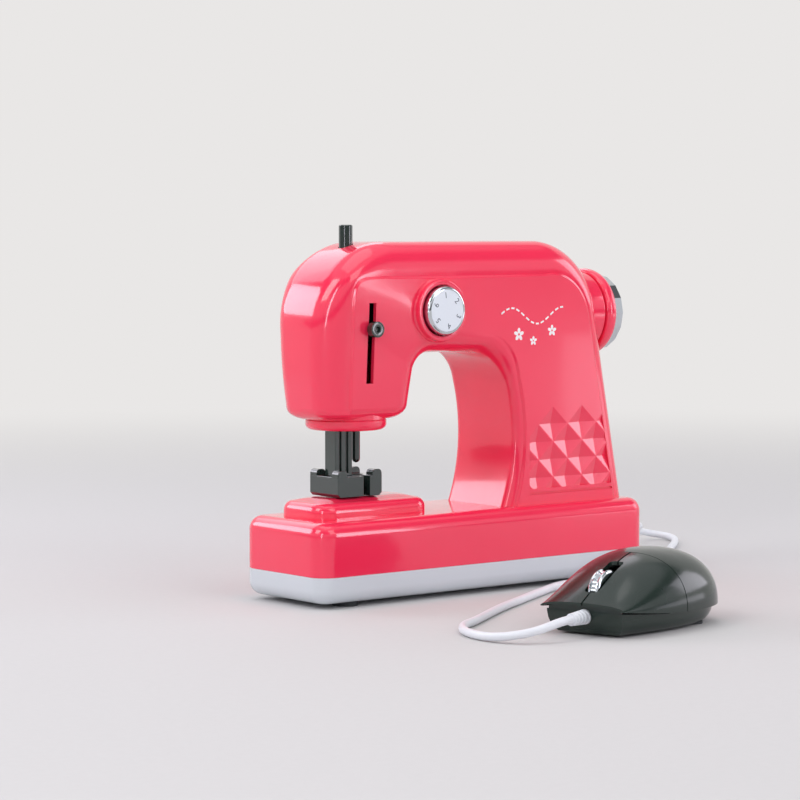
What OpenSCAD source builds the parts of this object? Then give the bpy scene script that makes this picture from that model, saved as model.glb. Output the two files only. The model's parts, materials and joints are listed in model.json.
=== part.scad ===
// Toy sewing machine with a handwheel, a dial and a corded pedal shaped like a computer mouse.
// Millimetres. +X runs from the head to the handwheel, +Y to the back, +Z up from the table.

/* [Base] */
// Length of the base
base_l = 220; // [200:1:240]
// Depth of the base
base_d = 66; // [60:1:76]
// Height of the base's top above the table
base_h = 42.5; // [40:0.5:50]
// Height of the seam between the tray and the housing
tray_h = 16; // [14:0.5:19]
// Radius of the base's upright corners
base_corner_r = 10; // [9:0.5:14]
// Radius of the housing's top edge
base_top_r = 7; // [4:0.5:8]
// Radius of the tray's bottom edge
tray_edge_r = 7; // [4:0.5:8]
// Diameter of a foot pad
foot_d = 13; // [10:0.5:16]
// Height of a foot pad
foot_h = 2.5; // [1.5:0.25:4]

/* [Arm] */
// Height of the arm's top above the table
arm_h = 179.5; // [164:0.5:194]
// Depth of the arm and column
arm_d = 52; // [48:1:58]
// Width of the head at the arch
head_w = 60.5; // [57.5:0.5:64.5]
// Height of the head, from its underside to the arm's top
head_h = 88.5; // [82:0.5:90]
// Radius of the head's top corner
head_corner_r = 43; // [36:1:46]
// Height of the arm over the arch
arch_cover = 56; // [54:0.5:60]
// Width of the arch from the head to the column
arch_w = 62.5; // [59.5:0.5:66.5]
// Lean of the column's outer side, in degrees
column_lean = 11; // [6:0.5:12]
// Radius of the arm's shoulder over the handwheel
shoulder_r = 40; // [34:1:44]
// Wall of the arm's shells
shell_wall = 2.2; // [1.8:0.1:2.6]

/* [Drive] */
// Depth of the main shaft below the arm's top
shaft_drop = 38.5; // [35:0.5:39]
// Diameter of the main shaft
shaft_d = 5; // [4:0.25:6]
// Diameter of the handwheel's rim
wheel_d = 47; // [43:0.5:48]
// Width of the handwheel's rim
wheel_w = 6.5; // [5:0.25:8]
// Diameter over the flats of the handwheel's cap
cap_d = 40; // [34:0.5:41]
// Length of the handwheel's cap
cap_w = 8; // [6:0.2:10]
// Module of the gears
gear_module = 1; // [0.9:0.05:1.05]
// Throw of the crank
crank_throw = 10; // [8:0.5:10.5]

/* [Needle and presser] */
// Diameter of the needle bar
bar_d = 7; // [6:0.25:8]
// Length of the needle bar that shows above the arm
bar_top = 8.5; // [6:0.5:14]
// Diameter of the needle rod
rod_d = 4.2; // [3.5:0.1:4.6]
// Width of the presser foot
foot_w = 28; // [24:0.5:30]
// Depth of the presser foot
foot_depth = 23; // [18:0.5:26]
// Height of the needle plate
plate_h = 9.5; // [6:0.5:11]
// Width of the slot for the take-up lever
slot_w = 4.4; // [4:0.1:5]

/* [Dial] */
// Diameter of the dial's knob
dial_d = 24.5; // [22:0.5:27]
// Diameter of the collar round the dial
dial_bezel_d = 31; // [30:0.5:34]
// Height of the knob over the front panel
dial_h = 7; // [5:0.25:9]

/* [Pedal] */
// Length of the pedal
pedal_l = 96; // [92:1:104]
// Width of the pedal
pedal_w = 62; // [58:1:66]
// Height of the pedal
pedal_h = 36; // [34:0.5:40]
// Diameter of the scroll wheel
scroll_d = 22; // [19:0.5:23]
// Width of the scroll wheel
scroll_w = 6; // [5:0.25:7]

/* [Cord] */
// Diameter of the cord
cord_d = 4; // [3.5:0.1:4.5]

/* [Hidden] */

$fn = 48;
// Overrun of every cut past the face that it leaves
over = 1;
// Play of a running shaft, on its radius
run_gap = 0.05;
// Play between pieces that slide or turn past each other
slide_gap = 0.3;

// Colours
pink = "#F4375C";
pale = "#D5DADF";
dark = "#3A4A48";
steel = "#B9BDC2";
shine = "#C9D0D6";
white = "#EEF2F6";
green = "#2F6B46";
black = "#2B2F33";

// Screws
screw_d = 2.6;
screw_head_d = 5;
screw_head_h = 1.8;
post_d = 7;
screw_hold = 8;

// Base
base_wall = 2.2;
seat_h = foot_h + base_wall;
corner_steps = 6;
edge_steps = 4;
base_post_share = 0.5;
base_post_inset = base_corner_r + post_d * base_post_share;
base_posts = [for (sx = [-1, 1], sy = [-1, 1])
    [sx * (base_l / 2 - base_post_inset), sy * (base_d / 2 - base_post_inset)]];
foot_inset_share = 1.25;
foot_places = [for (sx = [-1, 1], sy = [-1, 1])
    [sx * (base_l / 2 - base_post_inset - post_d / 2 - foot_d * foot_inset_share / 2),
     sy * (base_d / 2 - tray_edge_r - foot_d / 2)]];

// Battery bay, for three round cells side by side
cell_d = 14.2;
cell_l = 51;
bay_play = 1.4;
bay_l = cell_l + 4 * bay_play;
bay_d = 3 * cell_d + bay_play;
bay_wall = 1.6;
bay_h = cell_d + bay_play;
door_gap = 0.2;
door_lip = 7;
contact_t = 0.6;
contact_share = 0.6;

// Speaker and board
speaker_d = 30;
speaker_h = 8;
speaker_x = -base_l / 2 + base_corner_r + speaker_d;
grille_d = 2.4;
grille_pitch = 4.6;
board_l = 44;
board_d = 40;
board_t = 1.6;
board_x = (bay_l / 2 + bay_wall + base_l / 2 - base_post_inset + post_d / 2) / 2;
board_post_h = 5;
chip_size = 9;
chip_h = 2;

// Arm outline, in the X and Z of its middle plane
head_inset = 10.5;
head_left = -base_l / 2 + head_inset;
head_right = head_left + head_w;
head_z = arm_h - head_h;
head_belly_drop = 8;
head_belly_z = arm_h - head_corner_r - head_belly_drop;
head_side_r = 190;
head_edge_r = 7.5;
head_lean = 8;
head_taper = 4;
head_taper_drop = 18;
head_taper_z = arm_h - head_taper_drop;
arch_z = arm_h - arch_cover;
arch_corner_r = 10;
arch_back_r = 24;
column_left = head_right + arch_w;
column_curve_r = 100;
column_waist_rise = 36.5;
column_waist_z = base_h + column_waist_rise;
column_inset = 6.1;
column_foot_x = base_l / 2 - column_inset;
shoulder_c = let (
    z = arm_h - shoulder_r,
    foot_run = z + shoulder_r * sin(column_lean) - base_h
) [column_foot_x - foot_run * tan(column_lean) - shoulder_r * cos(column_lean), z];
arch_c = let (
    dz = arch_z - arch_back_r - column_waist_z,
    dx = sqrt(pow(column_curve_r - arch_back_r, 2) - dz * dz)
) [column_left - column_curve_r + dx, arch_z - arch_back_r];
arch_end = atan2(arch_c[1] - column_waist_z, arch_c[0] - column_left + column_curve_r);
arch_corner_c = [head_right + arch_corner_r * cos(head_lean), arch_z - arch_corner_r];
arch_corner_z = arch_corner_c[1] + arch_corner_r * sin(head_lean);
side_low_z = head_z + head_edge_r;

// Rounding of the arm's edges and the raised front panel
top_band = 17;
head_band = 15.2;
column_band = 10.5;
panel_corner_power = 6.5;
round_d = 13;
arch_round = 12;
column_round = 5;
panel_step = 1.2;
panel_bevel = 1.6;
round_steps = 5;
side_steps = 4;
bend_steps = 6;
top_steps = 3;
shoulder_steps = 7;
column_steps = 6;
bend_end = side_steps + bend_steps;
top_end = bend_end + top_steps;
floor_angles = [90, 60, 30];

// Needle, presser and crank places
needle_inset = 30.5;
needle_x = head_left + needle_inset;
rod_offset = 6.4;
rod_x = needle_x + rod_offset;
plate_top = base_h + plate_h;
plate_l = 71;
plate_d = 38;
plate_r = 10;
plate_edge_r = 5;
plate_offset = 5.5;
plate_x = needle_x + plate_offset;
plate_crown = 1.5;
plate_crown_inset = 9;
plate_peg_d = 4;
collar_d = 41;
collar_drop = 5.4;
collar_rise = 4;
collar_edge_r = 3;
collar_z = head_z - collar_drop;
presser_w = 10.8;
presser_depth = 8.6;
presser_gap = 3.6;
presser_x = rod_x - rod_d / 2 - presser_gap - presser_w / 2;
presser_groove = 1.4;
presser_flange = 2.4;
presser_flange_lip = 1.8;
presser_tail = 9.6;
presser_top_z = head_z + collar_rise + presser_tail;
foot_sole_z = plate_top + slide_gap;
foot_body_h = 10.2;
foot_horn_h = 3.2;
foot_horn_w = 6;
foot_horn_d = 5.4;
foot_groove_w = 4;
foot_chamfer = 1.6;
needle_clear = 16.4;
needle_rest_z = plate_top + needle_clear;
needle_up = 8;
needle_down = 12;

yoke_t = 3;
yoke_h = 10;
yoke_slot_h = 4.4;
shaft_z = arm_h - shaft_drop;
yoke_z = shaft_z + (needle_up + needle_down) / 2 - needle_up;
yoke_margin = 3;
yoke_half = crank_throw + yoke_margin;
hub_depth = 12;
hub_l = 16;
hub_wall = 0.5;
hub_right = rod_x + rod_d / 2 + hub_wall;
hub_left = hub_right - hub_l;
hub_low = 12;
lever_w = 3;
lever_h = 5;
lever_drop = 6.5;
lever_z = yoke_z - lever_drop;
lever_knob_d = 8;
lever_knob_h = 4.2;
slot_offset = 3;
slot_x = needle_x - slot_offset;
slot_spare_low = 15;
slot_spare_high = 5;
slot_low = lever_z - needle_down - slot_spare_low;
slot_high = lever_z + needle_up + slot_spare_high;

crank_gap = 0.4;
crank_pin_d = 4;
crank_pin_l = 3.4;
crank_t = 4;
crank_left = hub_right + yoke_t + crank_gap + crank_pin_l;
crank_rim = 1;
crank_d = 2 * (crank_throw + crank_rim) + crank_pin_d;

// Drive places
wheel_gap = 0.6;
wheel_edge_r = 2.4;
collar_right = column_side_x(shaft_z - wheel_d / 2 + wheel_edge_r) + wheel_gap;
shaft_collar_inset = 1.5;
shaft_collar_d = wheel_d - 2 * shaft_collar_inset;
shaft_collar_w = 17;
shaft_collar_wall = 3;
wheel_left = collar_right + wheel_gap;
cap_left = wheel_left + wheel_w;
cap_flats = 16;
cap_dish = 2;
gear_teeth = 32;
pinion_teeth = 14;
gear_w = 6;
mesh_gap = 0.2;
tooth_play_share = 0.14;
flank_steps = 3;
pressure_angle = 20;
tip_share = 0.92;
root_share = 1.3;
gear_gap = mesh_gap + gear_module * (gear_teeth + pinion_teeth) / 2;
motor_z = shaft_z - gear_gap;
pinion_spare = 1;
pinion_w = gear_w + pinion_spare;
motor_shaft_d = 2;
motor_d = 20;
motor_flat = 15;
motor_l = 18;
motor_nose = 1.6;
motor_gap = 1.5;
motor_x = collar_right - shaft_collar_w - motor_gap - motor_l;
gear_x = motor_x - motor_nose - wheel_gap - pinion_w;
strap_t = 1.5;
strap_w = 6;

chassis_t = 2.2;
chassis_gap = 2;
chassis_back = arm_d / 2 - shell_wall - chassis_gap;
chassis_front = chassis_back - chassis_t;
chassis_low_rise = 5;
chassis_high_rise = 16;
chassis_low = shaft_z + chassis_low_rise;
chassis_high = shaft_z + chassis_high_rise;
lug_t = 4;
lug_half = 10;
lug_front = 8;
lug_head_x = crank_left + crank_t + lug_t;
lug_tail_x = gear_x - 2 * lug_t;
guide_t = 4;
guide_drop = 21;
guide_z = arm_h - guide_drop;
guide_half = 6.5;
chassis_screw_rise = 12;
chassis_screw_z = shaft_z + chassis_screw_rise;
chassis_screw_xs = [
    lug_head_x + 3 * lug_t,
    (lug_head_x + lug_tail_x) / 2 + 2 * lug_t,
    lug_tail_x - 2 * lug_t
];

// Screw posts between the shells, as places in X and Z
post_inset = 16.5;
post_side = 19;
head_post_rise = 25;
head_post_drop = 28;
column_post_rise = 15;
column_post_in = 14;
column_post_out = 20;
head_post_z = head_z + head_post_rise;
head_post_high_z = arm_h - head_post_drop;
column_post_z = base_h + column_post_rise;
shell_posts = [
    [head_left + post_side, head_post_high_z],
    [head_left + post_side, head_post_z],
    [(head_right + column_left) / 2, arm_h - post_inset],
    [shoulder_c[0], arm_h - post_inset],
    [column_left + column_post_in, column_post_z],
    [column_foot_x - column_post_out, column_post_z]
];
post_start = panel_step + shell_wall / 5;
shell_screw_depth = 6;
shell_screw_seat = arm_d / 4;
flange_t = 3;
flange_inset = 2;
arm_screw_x_shares = [0.18, 0.8];
arm_screw_y = arm_d / 4;
arm_screw_places = [for (t = arm_screw_x_shares, s = [-1, 1])
    [mix(column_left + post_d, column_foot_x - 2 * post_d, t), s * arm_screw_y]];
wire_way_x = (column_left + column_foot_x) / 2;
wire_way_l = 13;

// Diamond pits in the column's front panel
pit_w = 20.4;
pit_h = 18.6;
pit_depth = 2.2;
pit_ridge = 0.7;
pit_front = 0.3;
pit_rows = 4;
pit_cols = 4;
pit_base_rise = 8.5;
pit_first_rise = 14;
pit_start = 4.1;
pit_base_z = base_h + pit_base_rise;
pit_first_z = base_h + pit_first_rise;
pit_first_x = column_left + pit_start + pit_w / 2;
pit_left = column_left + column_round + 2 * panel_bevel;
pit_pad_t = 1.8;
groove_w = 1.2;
groove_depth = 0.9;
groove_rise = 6;
groove_z = base_h + groove_rise;

// Dial places
dial_offset = 9;
dial_rise = 4;
dial_x = head_right + dial_offset;
dial_z = shaft_z + dial_rise;
dial_lip = 3.5;
dial_gap = 0.6;
dial_rim_w = 1.7;
dial_face_d = dial_d - 2 * dial_rim_w;
dial_face_t = 0.6;
dial_stem_d = 6;
dial_stem_l = 8;
dial_clip_d = 12;
dial_clip_t = 2;

// Pedal form, as shares of its length, width and height
pedal_wall = 1.8;
pedal_gap = 0.5;
pedal_nose_share = 0.72;
pedal_crest_share = 0.59;
pedal_nose_h_share = 0.44;
pedal_waist_nose_share = 0.36;
pedal_waist_tail_share = 0.25;
pedal_split_share = 0.46;
pedal_tail_min_share = 0.03;
pedal_tail_power = 2.6;
pedal_round_power = 2.2;
pedal_section_power = 2.3;
pedal_cols = 12;
pedal_rows = 10;
button_rows = 8;
button_cols = 8;
button_gap = 0.8;
button_drop = 0.75;
pedal_side_gap = 0.4;
pedal_rim_inset = pedal_wall + pedal_side_gap;
pedal_floor = 1.2;
pedal_floor_t = 1.8;
pedal_foot_inset = 4;
pedal_steps = 10;
pedal_side_share = 0.6;

scroll_x = 20;
scroll_rise = 2.6;
scroll_axle_d = 3;
scroll_play = 1.5;
scroll_post_t = 3;
scroll_grip_depth = 0.8;
scroll_grips = 12;
scroll_z = dome_z(scroll_x, 0) + scroll_rise - scroll_d / 2;
scroll_post_in = scroll_w / 2 + scroll_play;
scroll_post_out = scroll_post_in + scroll_post_t;
pin_d = 2.5;
pin_setback = 5.16;
pin_x = pedal_split_share * pedal_l - pin_setback;
pin_z = 20;
pin_half = 20.5;
pin_post_t = 3;
pin_post_l = 5;
lug_ring_d = 5.4;
button_lug_in = 6;
button_lug_w = 7;
pedal_screw_inset = 34;
pedal_screw_x = pedal_l - pedal_screw_inset;
pedal_screw_y = 13;
pedal_post_d = 6;
pedal_post_z = 9;
pedal_screw_l = 9;
switch_x = 12.5;
switch_y = 9;
switch_l = 5;
switch_h = 4.6;
plunger_d = 3;
plunger_gap = 0.5;
pedal_board_l = 8;
pedal_board_d = 24;
pedal_board_t = 1.6;
pedal_board_rise = 1.6;
pedal_board_z = pedal_floor + pedal_floor_t + pedal_board_rise;
plunger_z = pedal_board_z + pedal_board_t + switch_h + plunger_gap;
pedal_pads = [[0.2, 0.0], [0.72, 0.3], [0.72, -0.3]];
pedal_pad_d = 11;

relief_z = 9.2;
relief_root = 3.8;
relief_l = 13.5;
relief_d = 7;
relief_tip_d = 5.8;
relief_ribs = 5;
relief_rib = 0.6;
relief_rib_share = 0.6;
relief_x = -relief_l + relief_root;

// Where the pedal's nose lies and how far it is turned, seen from the machine's middle
pedal_nose_x = -68;
pedal_nose_y = -173;
pedal_nose = [pedal_nose_x, pedal_nose_y];
pedal_yaw = 16;

// Gland and the cord's route from it to the strain relief, seen from the machine's middle
gland_z = 24;
gland_d = 11;
gland_neck_d = 8;
gland_l = 9;
cord_points = [
    [110, 0, 24], [120, 0, 24], [140, 9, 22], [165, 30, 18], [190, 57, 13], [211, 79, 8],
    [224, 87, 5.5], [234, 87, 3.5], [238, 80, 2.4], [231, 68, 2.2], [218, 55, 2.2], [205, 44, 2.2],
    [190, 31, 2.2], [174, 12, 2.2], [158, -10, 2.2], [140, -30, 2.2], [118, -42, 2.2], [92, -46, 2.2],
    [66, -43, 2.2], [41, -42, 2.2], [11, -57, 2.2], [-17, -73, 2.2], [-43, -88, 2.2], [-79, -112, 2.2],
    [-94, -121, 2.2], [-104, -132, 2.2], [-109, -144, 2.2], [-110, -156, 2.4], [-107, -167, 3.6],
    [-99, -175, 5.8]
];
cord_ring_step = 10;
cord_sides = 8;
cord_way_share = 0.01;
pedal_way = [cos(pedal_yaw), sin(pedal_yaw), 0];
relief_end = [pedal_nose[0], pedal_nose[1], relief_z] + relief_x * pedal_way;
route = concat(cord_points, [relief_end - 2 * cord_d * pedal_way, relief_end]);
cord_spans = [for (k = [0:len(route) - 2]) max(1, round(norm(route[k + 1] - route[k]) / cord_ring_step))];
cord_steps = concat(
    [for (k = [0:len(route) - 2], i = [0:cord_spans[k] - 1]) k + i / cord_spans[k]],
    [len(route) - 1]);

// Middle of the machine, so that the origin lies below the middle of the machine and the pedal
pedal_low_y = min([for (p = pedal_outline(0)) pedal_nose[1] + sin(pedal_yaw) * p[0] + cos(pedal_yaw) * p[1]]);
machine_y = -(base_d / 2 + pedal_low_y) / 2;

// Small helpers
function unit(v) = v / norm(v);
function mix(a, b, t) = a + (b - a) * t;
function tail(list) = [for (k = [1:len(list) - 1]) list[k]];
function mean(list, k = 0) = list[k] / len(list) + (k < len(list) - 1 ? mean(list, k + 1) : 0 * list[k]);
function arc(c, r, a0, a1, steps) =
    [for (k = [0:steps]) let (a = mix(a0, a1, k / steps)) c + r * [cos(a), sin(a)]];
function line(p, q, steps) = [for (k = [0:steps]) mix(p, q, k / steps)];

// A box between two opposite corners
module block(low, high) {
    translate(low) cube(high - low);
}

// Round bars along X and along Y between two places
module bar_x(d, x0, x1) {
    translate([x0, 0, 0]) rotate([0, 90, 0]) cylinder(d = d, h = x1 - x0);
}

module bar_y(d, y0, y1) {
    translate([0, y0, 0]) rotate([-90, 0, 0]) cylinder(d = d, h = y1 - y0);
}

// A pan-head screw that points up from the underside of its head
module screw(length) {
    translate([0, 0, -screw_head_h]) cylinder(d = screw_head_d, h = screw_head_h);
    cylinder(d = screw_d, h = length);
}

// A closed solid through a chain of rings, capped at both ends
module skin(rings) {
    n = len(rings[0]);
    m = len(rings);
    points = concat([mean(rings[0])], [for (ring = rings) each ring], [mean(rings[m - 1])]);
    last = len(points) - 1;
    sides = [for (j = [0:m - 2], k = [0:n - 1])
        let (a = 1 + j * n + k, b = 1 + j * n + (k + 1) % n)
        each [[a, b + n, b], [a, a + n, b + n]]];
    start = [for (k = [0:n - 1]) [0, 1 + k, 1 + (k + 1) % n]];
    end = [for (k = [0:n - 1]) [last, last - n + (k + 1) % n, last - n + k]];
    polyhedron(points, concat(start, sides, end));
}

// A closed sheet with thickness, from the grids of its two faces
module thick_sheet(outer, inner) {
    rows = len(outer);
    cols = len(outer[0]);
    n = rows * cols;
    points = [for (row = concat(outer, inner)) each row];
    skins = [for (j = [0:rows - 2], k = [0:cols - 2])
        let (a = j * cols + k, b = a + 1, c = a + cols, d = c + 1)
        each [[a, b, d], [a, d, c], [n + a, n + d, n + b], [n + a, n + c, n + d]]];
    ends = [for (k = [0:cols - 2])
        let (a = k, b = (rows - 1) * cols + k)
        each [[a, n + a, n + a + 1], [a, n + a + 1, a + 1], [b, n + b + 1, n + b], [b, b + 1, n + b + 1]]];
    edges = [for (j = [0:rows - 2])
        let (a = j * cols, c = a + cols, b = a + cols - 1, d = c + cols - 1)
        each [[a, n + c, n + a], [a, c, n + c], [b, n + b, n + d], [b, n + d, d]]];
    polyhedron(points, concat(edges, ends, skins));
}

// A level ring with round corners
function ring(l, d, r, z) = [for (c = [0:3], k = [0:corner_steps])
    let (a = 90 * (c + k / corner_steps), sx = c == 0 || c == 3 ? 1 : -1, sy = c < 2 ? 1 : -1)
    [sx * (l / 2 - r) + r * cos(a), sy * (d / 2 - r) + r * sin(a), z]];

// Rings of an edge that is rounded from upright to level; way is 1 for a top edge and -1 for a bottom edge
function edge_rings(l, d, r, edge_r, z, way) = [for (k = [0:edge_steps])
    let (a = 90 * k / edge_steps, inset = edge_r * (1 - cos(a)))
    ring(l - 2 * inset, d - 2 * inset, max(r - inset, edge_r / edge_steps), z - way * edge_r * (1 - sin(a)))];

function reverse(list) = [for (k = [len(list) - 1:-1:0]) list[k]];

module at_machine() {
    translate([0, machine_y, 0]) children();
}

module at_pedal() {
    translate([pedal_nose[0], machine_y + pedal_nose[1], 0]) rotate([0, 0, pedal_yaw]) children();
}

// Base

module tray_form() {
    inner_r = max(base_corner_r - base_wall, base_wall);
    l = base_l - 2 * base_wall;
    d = base_d - 2 * base_wall;
    inside = edge_rings(l, d, inner_r, tray_edge_r - base_wall, seat_h, -1);
    outside = edge_rings(base_l, base_d, base_corner_r, tray_edge_r, foot_h, -1);
    rims = [ring(base_l, base_d, base_corner_r, tray_h), ring(l, d, inner_r, tray_h)];
    skin(concat(reverse(outside), rims, inside));
}

module base_tray() {
    color(pale) at_machine() difference() {
        union() {
            tray_form();
            for (p = base_posts) translate([p[0], p[1], seat_h - over / 2])
                cylinder(d = post_d, h = tray_h - seat_h + over / 2);
            difference() {
                block([-bay_l / 2 - bay_wall, -bay_d / 2 - bay_wall, seat_h - over / 2],
                      [bay_l / 2 + bay_wall, bay_d / 2 + bay_wall, seat_h + bay_h]);
                block([-bay_l / 2, -bay_d / 2, seat_h - over],
                      [bay_l / 2, bay_d / 2, seat_h + bay_h + over]);
            }
            block([bay_l / 2 + bay_wall / 2, -post_d / 2, seat_h - over / 2],
                  [bay_l / 2 + bay_wall + post_d, post_d / 2, seat_h + post_d]);
            for (sx = [-1, 1], sy = [-1, 1])
                translate([board_x + sx * board_l / 3, sy * board_d / 3, seat_h - over / 2])
                    cylinder(d = post_d, h = board_post_h + over / 2);
        }
        block([-bay_l / 2, -bay_d / 2, foot_h - over], [bay_l / 2, bay_d / 2, seat_h + over]);
        block([bay_l / 2 - over, -door_lip, foot_h - over],
              [bay_l / 2 + bay_wall + post_d, door_lip, foot_h + base_wall / 2]);
        translate([bay_l / 2 + bay_wall + post_d / 2, 0, foot_h - over])
            cylinder(d = screw_d, h = base_wall + post_d);
        for (p = base_posts) translate([p[0], p[1], foot_h - over]) {
            cylinder(d = screw_d, h = tray_h);
            cylinder(d = screw_head_d + 2 * slide_gap, h = over + base_wall + screw_head_h);
        }
        for (j = [-1:1], k = [-1:1])
            translate([speaker_x + j * grille_pitch, k * grille_pitch, foot_h - over])
            cylinder(d = grille_d, h = base_wall + 2 * over);
    }
}

module base_housing() {
    inner_r = max(base_corner_r - base_wall, base_wall);
    l = base_l - 2 * base_wall;
    d = base_d - 2 * base_wall;
    top_z = base_h - base_wall;
    inside = edge_rings(l, d, inner_r, base_top_r - base_wall, top_z, 1);
    outside = edge_rings(base_l, base_d, base_corner_r, base_top_r, base_h, 1);
    color(pink) at_machine() difference() {
        union() {
            skin(concat(
                reverse(inside),
                [ring(l, d, inner_r, tray_h), ring(base_l, base_d, base_corner_r, tray_h)],
                outside));
            for (p = base_posts) translate([p[0], p[1], tray_h])
                cylinder(d = post_d, h = top_z - tray_h + base_wall / 2);
        }
        for (p = base_posts) translate([p[0], p[1], tray_h - over])
            cylinder(d = screw_d, h = over + screw_hold);
        for (p = arm_screw_places) translate([p[0], p[1], top_z - over])
            cylinder(d = screw_d, h = base_wall + 2 * over);
        block([wire_way_x - wire_way_l / 2, -flange_inset, top_z - over],
              [wire_way_x + wire_way_l / 2, flange_inset, base_h + over]);
        for (s = [-1, 1]) translate([plate_x + s * plate_l / 3, 0, top_z - over])
            cylinder(d = plate_peg_d, h = base_wall + 2 * over);
        translate([0, 0, gland_z]) bar_x(gland_neck_d, base_l / 2 - 2 * base_wall, base_l / 2 + over);
        translate([0, 0, gland_z]) bar_x(gland_d, base_l / 2 - base_wall / 2, base_l / 2 + over);
    }
}

module battery_door() {
    color(pale) at_machine() difference() {
        union() {
            block([-bay_l / 2 + door_gap, -bay_d / 2 + door_gap, foot_h],
                  [bay_l / 2 - door_gap, bay_d / 2 - door_gap, seat_h]);
            block([bay_l / 2 - 2 * door_gap, -door_lip + door_gap, foot_h],
                  [bay_l / 2 + bay_wall + post_d - door_gap, door_lip - door_gap, foot_h + base_wall / 2]);
        }
        translate([bay_l / 2 + bay_wall + post_d / 2, 0, foot_h - over])
            cylinder(d = screw_d, h = base_wall + 2 * over);
        translate([bay_l / 2 + bay_wall + post_d / 2, 0, foot_h - over])
            cylinder(d = screw_head_d, h = over + base_wall / 4);
    }
}

module battery_door_screw() {
    color(steel) at_machine() translate([bay_l / 2 + bay_wall + post_d / 2, 0, foot_h + base_wall / 4]) {
        translate([0, 0, -base_wall / 4]) cylinder(d = screw_head_d, h = base_wall / 4);
        cylinder(d = screw_d, h = post_d - over);
    }
}

module battery_contacts() {
    color(steel) at_machine() for (sx = [-1, 1], k = [-1:1])
        translate([sx * (bay_l / 2 - contact_t / 2), k * cell_d, seat_h + bay_h / 2])
            cube([contact_t, cell_d * contact_share, cell_d * contact_share], center = true);
}

module base_screws() {
    color(steel) at_machine() for (p = base_posts)
        translate([p[0], p[1], foot_h + base_wall + screw_head_h])
            screw(tray_h - seat_h - screw_head_h + screw_hold - over);
}

module base_feet() {
    color(dark) at_machine() for (p = foot_places) translate([p[0], p[1], 0])
        cylinder(d = foot_d, h = foot_h);
}

module needle_plate() {
    color(pink) at_machine() translate([plate_x, 0, 0]) {
        skin(concat(
            [ring(plate_l, plate_d, plate_r, base_h)],
            edge_rings(plate_l, plate_d, plate_r, plate_edge_r, plate_top - plate_crown, 1),
            [ring(plate_l - 2 * plate_crown_inset, plate_d - 2 * plate_crown_inset, plate_r / 2, plate_top)]));
        for (s = [-1, 1]) translate([s * plate_l / 3, 0, base_h - base_wall])
            cylinder(d = plate_peg_d, h = base_wall + over);
    }
}

module circuit_board() {
    color(green) at_machine() translate([board_x, 0, seat_h + board_post_h]) {
        translate([-board_l / 2, -board_d / 2, 0]) cube([board_l, board_d, board_t]);
        translate([-chip_size / 2, -chip_size / 2, board_t]) cube([chip_size, chip_size, chip_h]);
    }
}

module speaker() {
    color(black) at_machine() translate([speaker_x, 0, seat_h]) rotate_extrude() polygon([
        [0, 0], [speaker_d / 2, 0], [speaker_d / 2, speaker_h / 3], [speaker_d / 3, speaker_h / 2],
        [speaker_d / 3, speaker_h], [0, speaker_h]]);
}

module cord_gland() {
    color(pale) at_machine() translate([0, 0, gland_z]) difference() {
        union() {
            bar_x(gland_d, base_l / 2 - base_wall / 2, base_l / 2);
            bar_x(gland_neck_d, base_l / 2 - gland_l, base_l / 2);
        }
        bar_x(cord_d, base_l / 2 - gland_l - over, base_l / 2 - gland_l / 2);
    }
}

// Arm: each station joins a place on the outer outline to one on the inner outline

function head_side_x(z) = head_left
    + (z < head_belly_z ? head_side_r - sqrt(pow(head_side_r, 2) - pow(z - head_belly_z, 2)) : 0);

outer_line = concat(
    [for (k = [0:side_steps])
        let (z = mix(side_low_z, arm_h - head_corner_r, k / side_steps)) [head_side_x(z), z]],
    tail(arc([head_left + head_corner_r, arm_h - head_corner_r], head_corner_r, 180, 90, bend_steps)),
    tail(line([head_left + head_corner_r, arm_h], [shoulder_c[0], arm_h], top_steps)),
    tail(arc(shoulder_c, shoulder_r, 90, column_lean, shoulder_steps)),
    tail(line(shoulder_c + shoulder_r * [cos(column_lean), sin(column_lean)],
              [column_foot_x, base_h], column_steps))
);

inner_line = concat(
    line([head_right - (arch_corner_z - side_low_z) * tan(head_lean), side_low_z],
         [head_right, arch_corner_z], side_steps),
    tail(arc(arch_corner_c, arch_corner_r, 180 - head_lean, 90, bend_steps)),
    tail(line([arch_corner_c[0], arch_z], [arch_c[0], arch_z], top_steps)),
    tail(arc(arch_c, arch_back_r, 90, arch_end, shoulder_steps)),
    tail(arc([column_left - column_curve_r, column_waist_z], column_curve_r, arch_end,
             asin((base_h - column_waist_z) / column_curve_r), column_steps))
);

// Shares along the stations: of the head's taper, and of the change from the arch to the column's edge
function taper_share(j) = 1 - min(max((j - side_steps) / bend_steps, 0), 1);
function column_share(j) = min(max((j - top_end) / shoulder_steps, 0), 1);

function half_depth(z, taper) = arm_d / 2
    - taper * head_taper * max(head_taper_z - z, 0) / (head_taper_z - head_z);

// Place on the front panel's outer border that belongs to a station: upright on the head, with a tight
// corner, level along the top, and beside the column's outer side
function panel_place(j) = let (p = outer_line[j])
    j <= side_steps ? [head_left + head_band, p[1]]
    : j < bend_end ? let (
        c = [head_left + head_corner_r, arm_h - head_corner_r],
        way = unit(p - c),
        side = abs(way[0]) / (head_corner_r - head_band),
        top = abs(way[1]) / (head_corner_r - top_band)
    ) c + way / pow(pow(side, panel_corner_power) + pow(top, panel_corner_power), 1 / panel_corner_power)
    : j <= top_end ? [p[0], arm_h - top_band]
    : j <= top_end + shoulder_steps ?
        p - mix(top_band, column_band, column_share(j)) * unit(p - shoulder_c)
    : [p[0] - column_band, p[1]];

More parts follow.
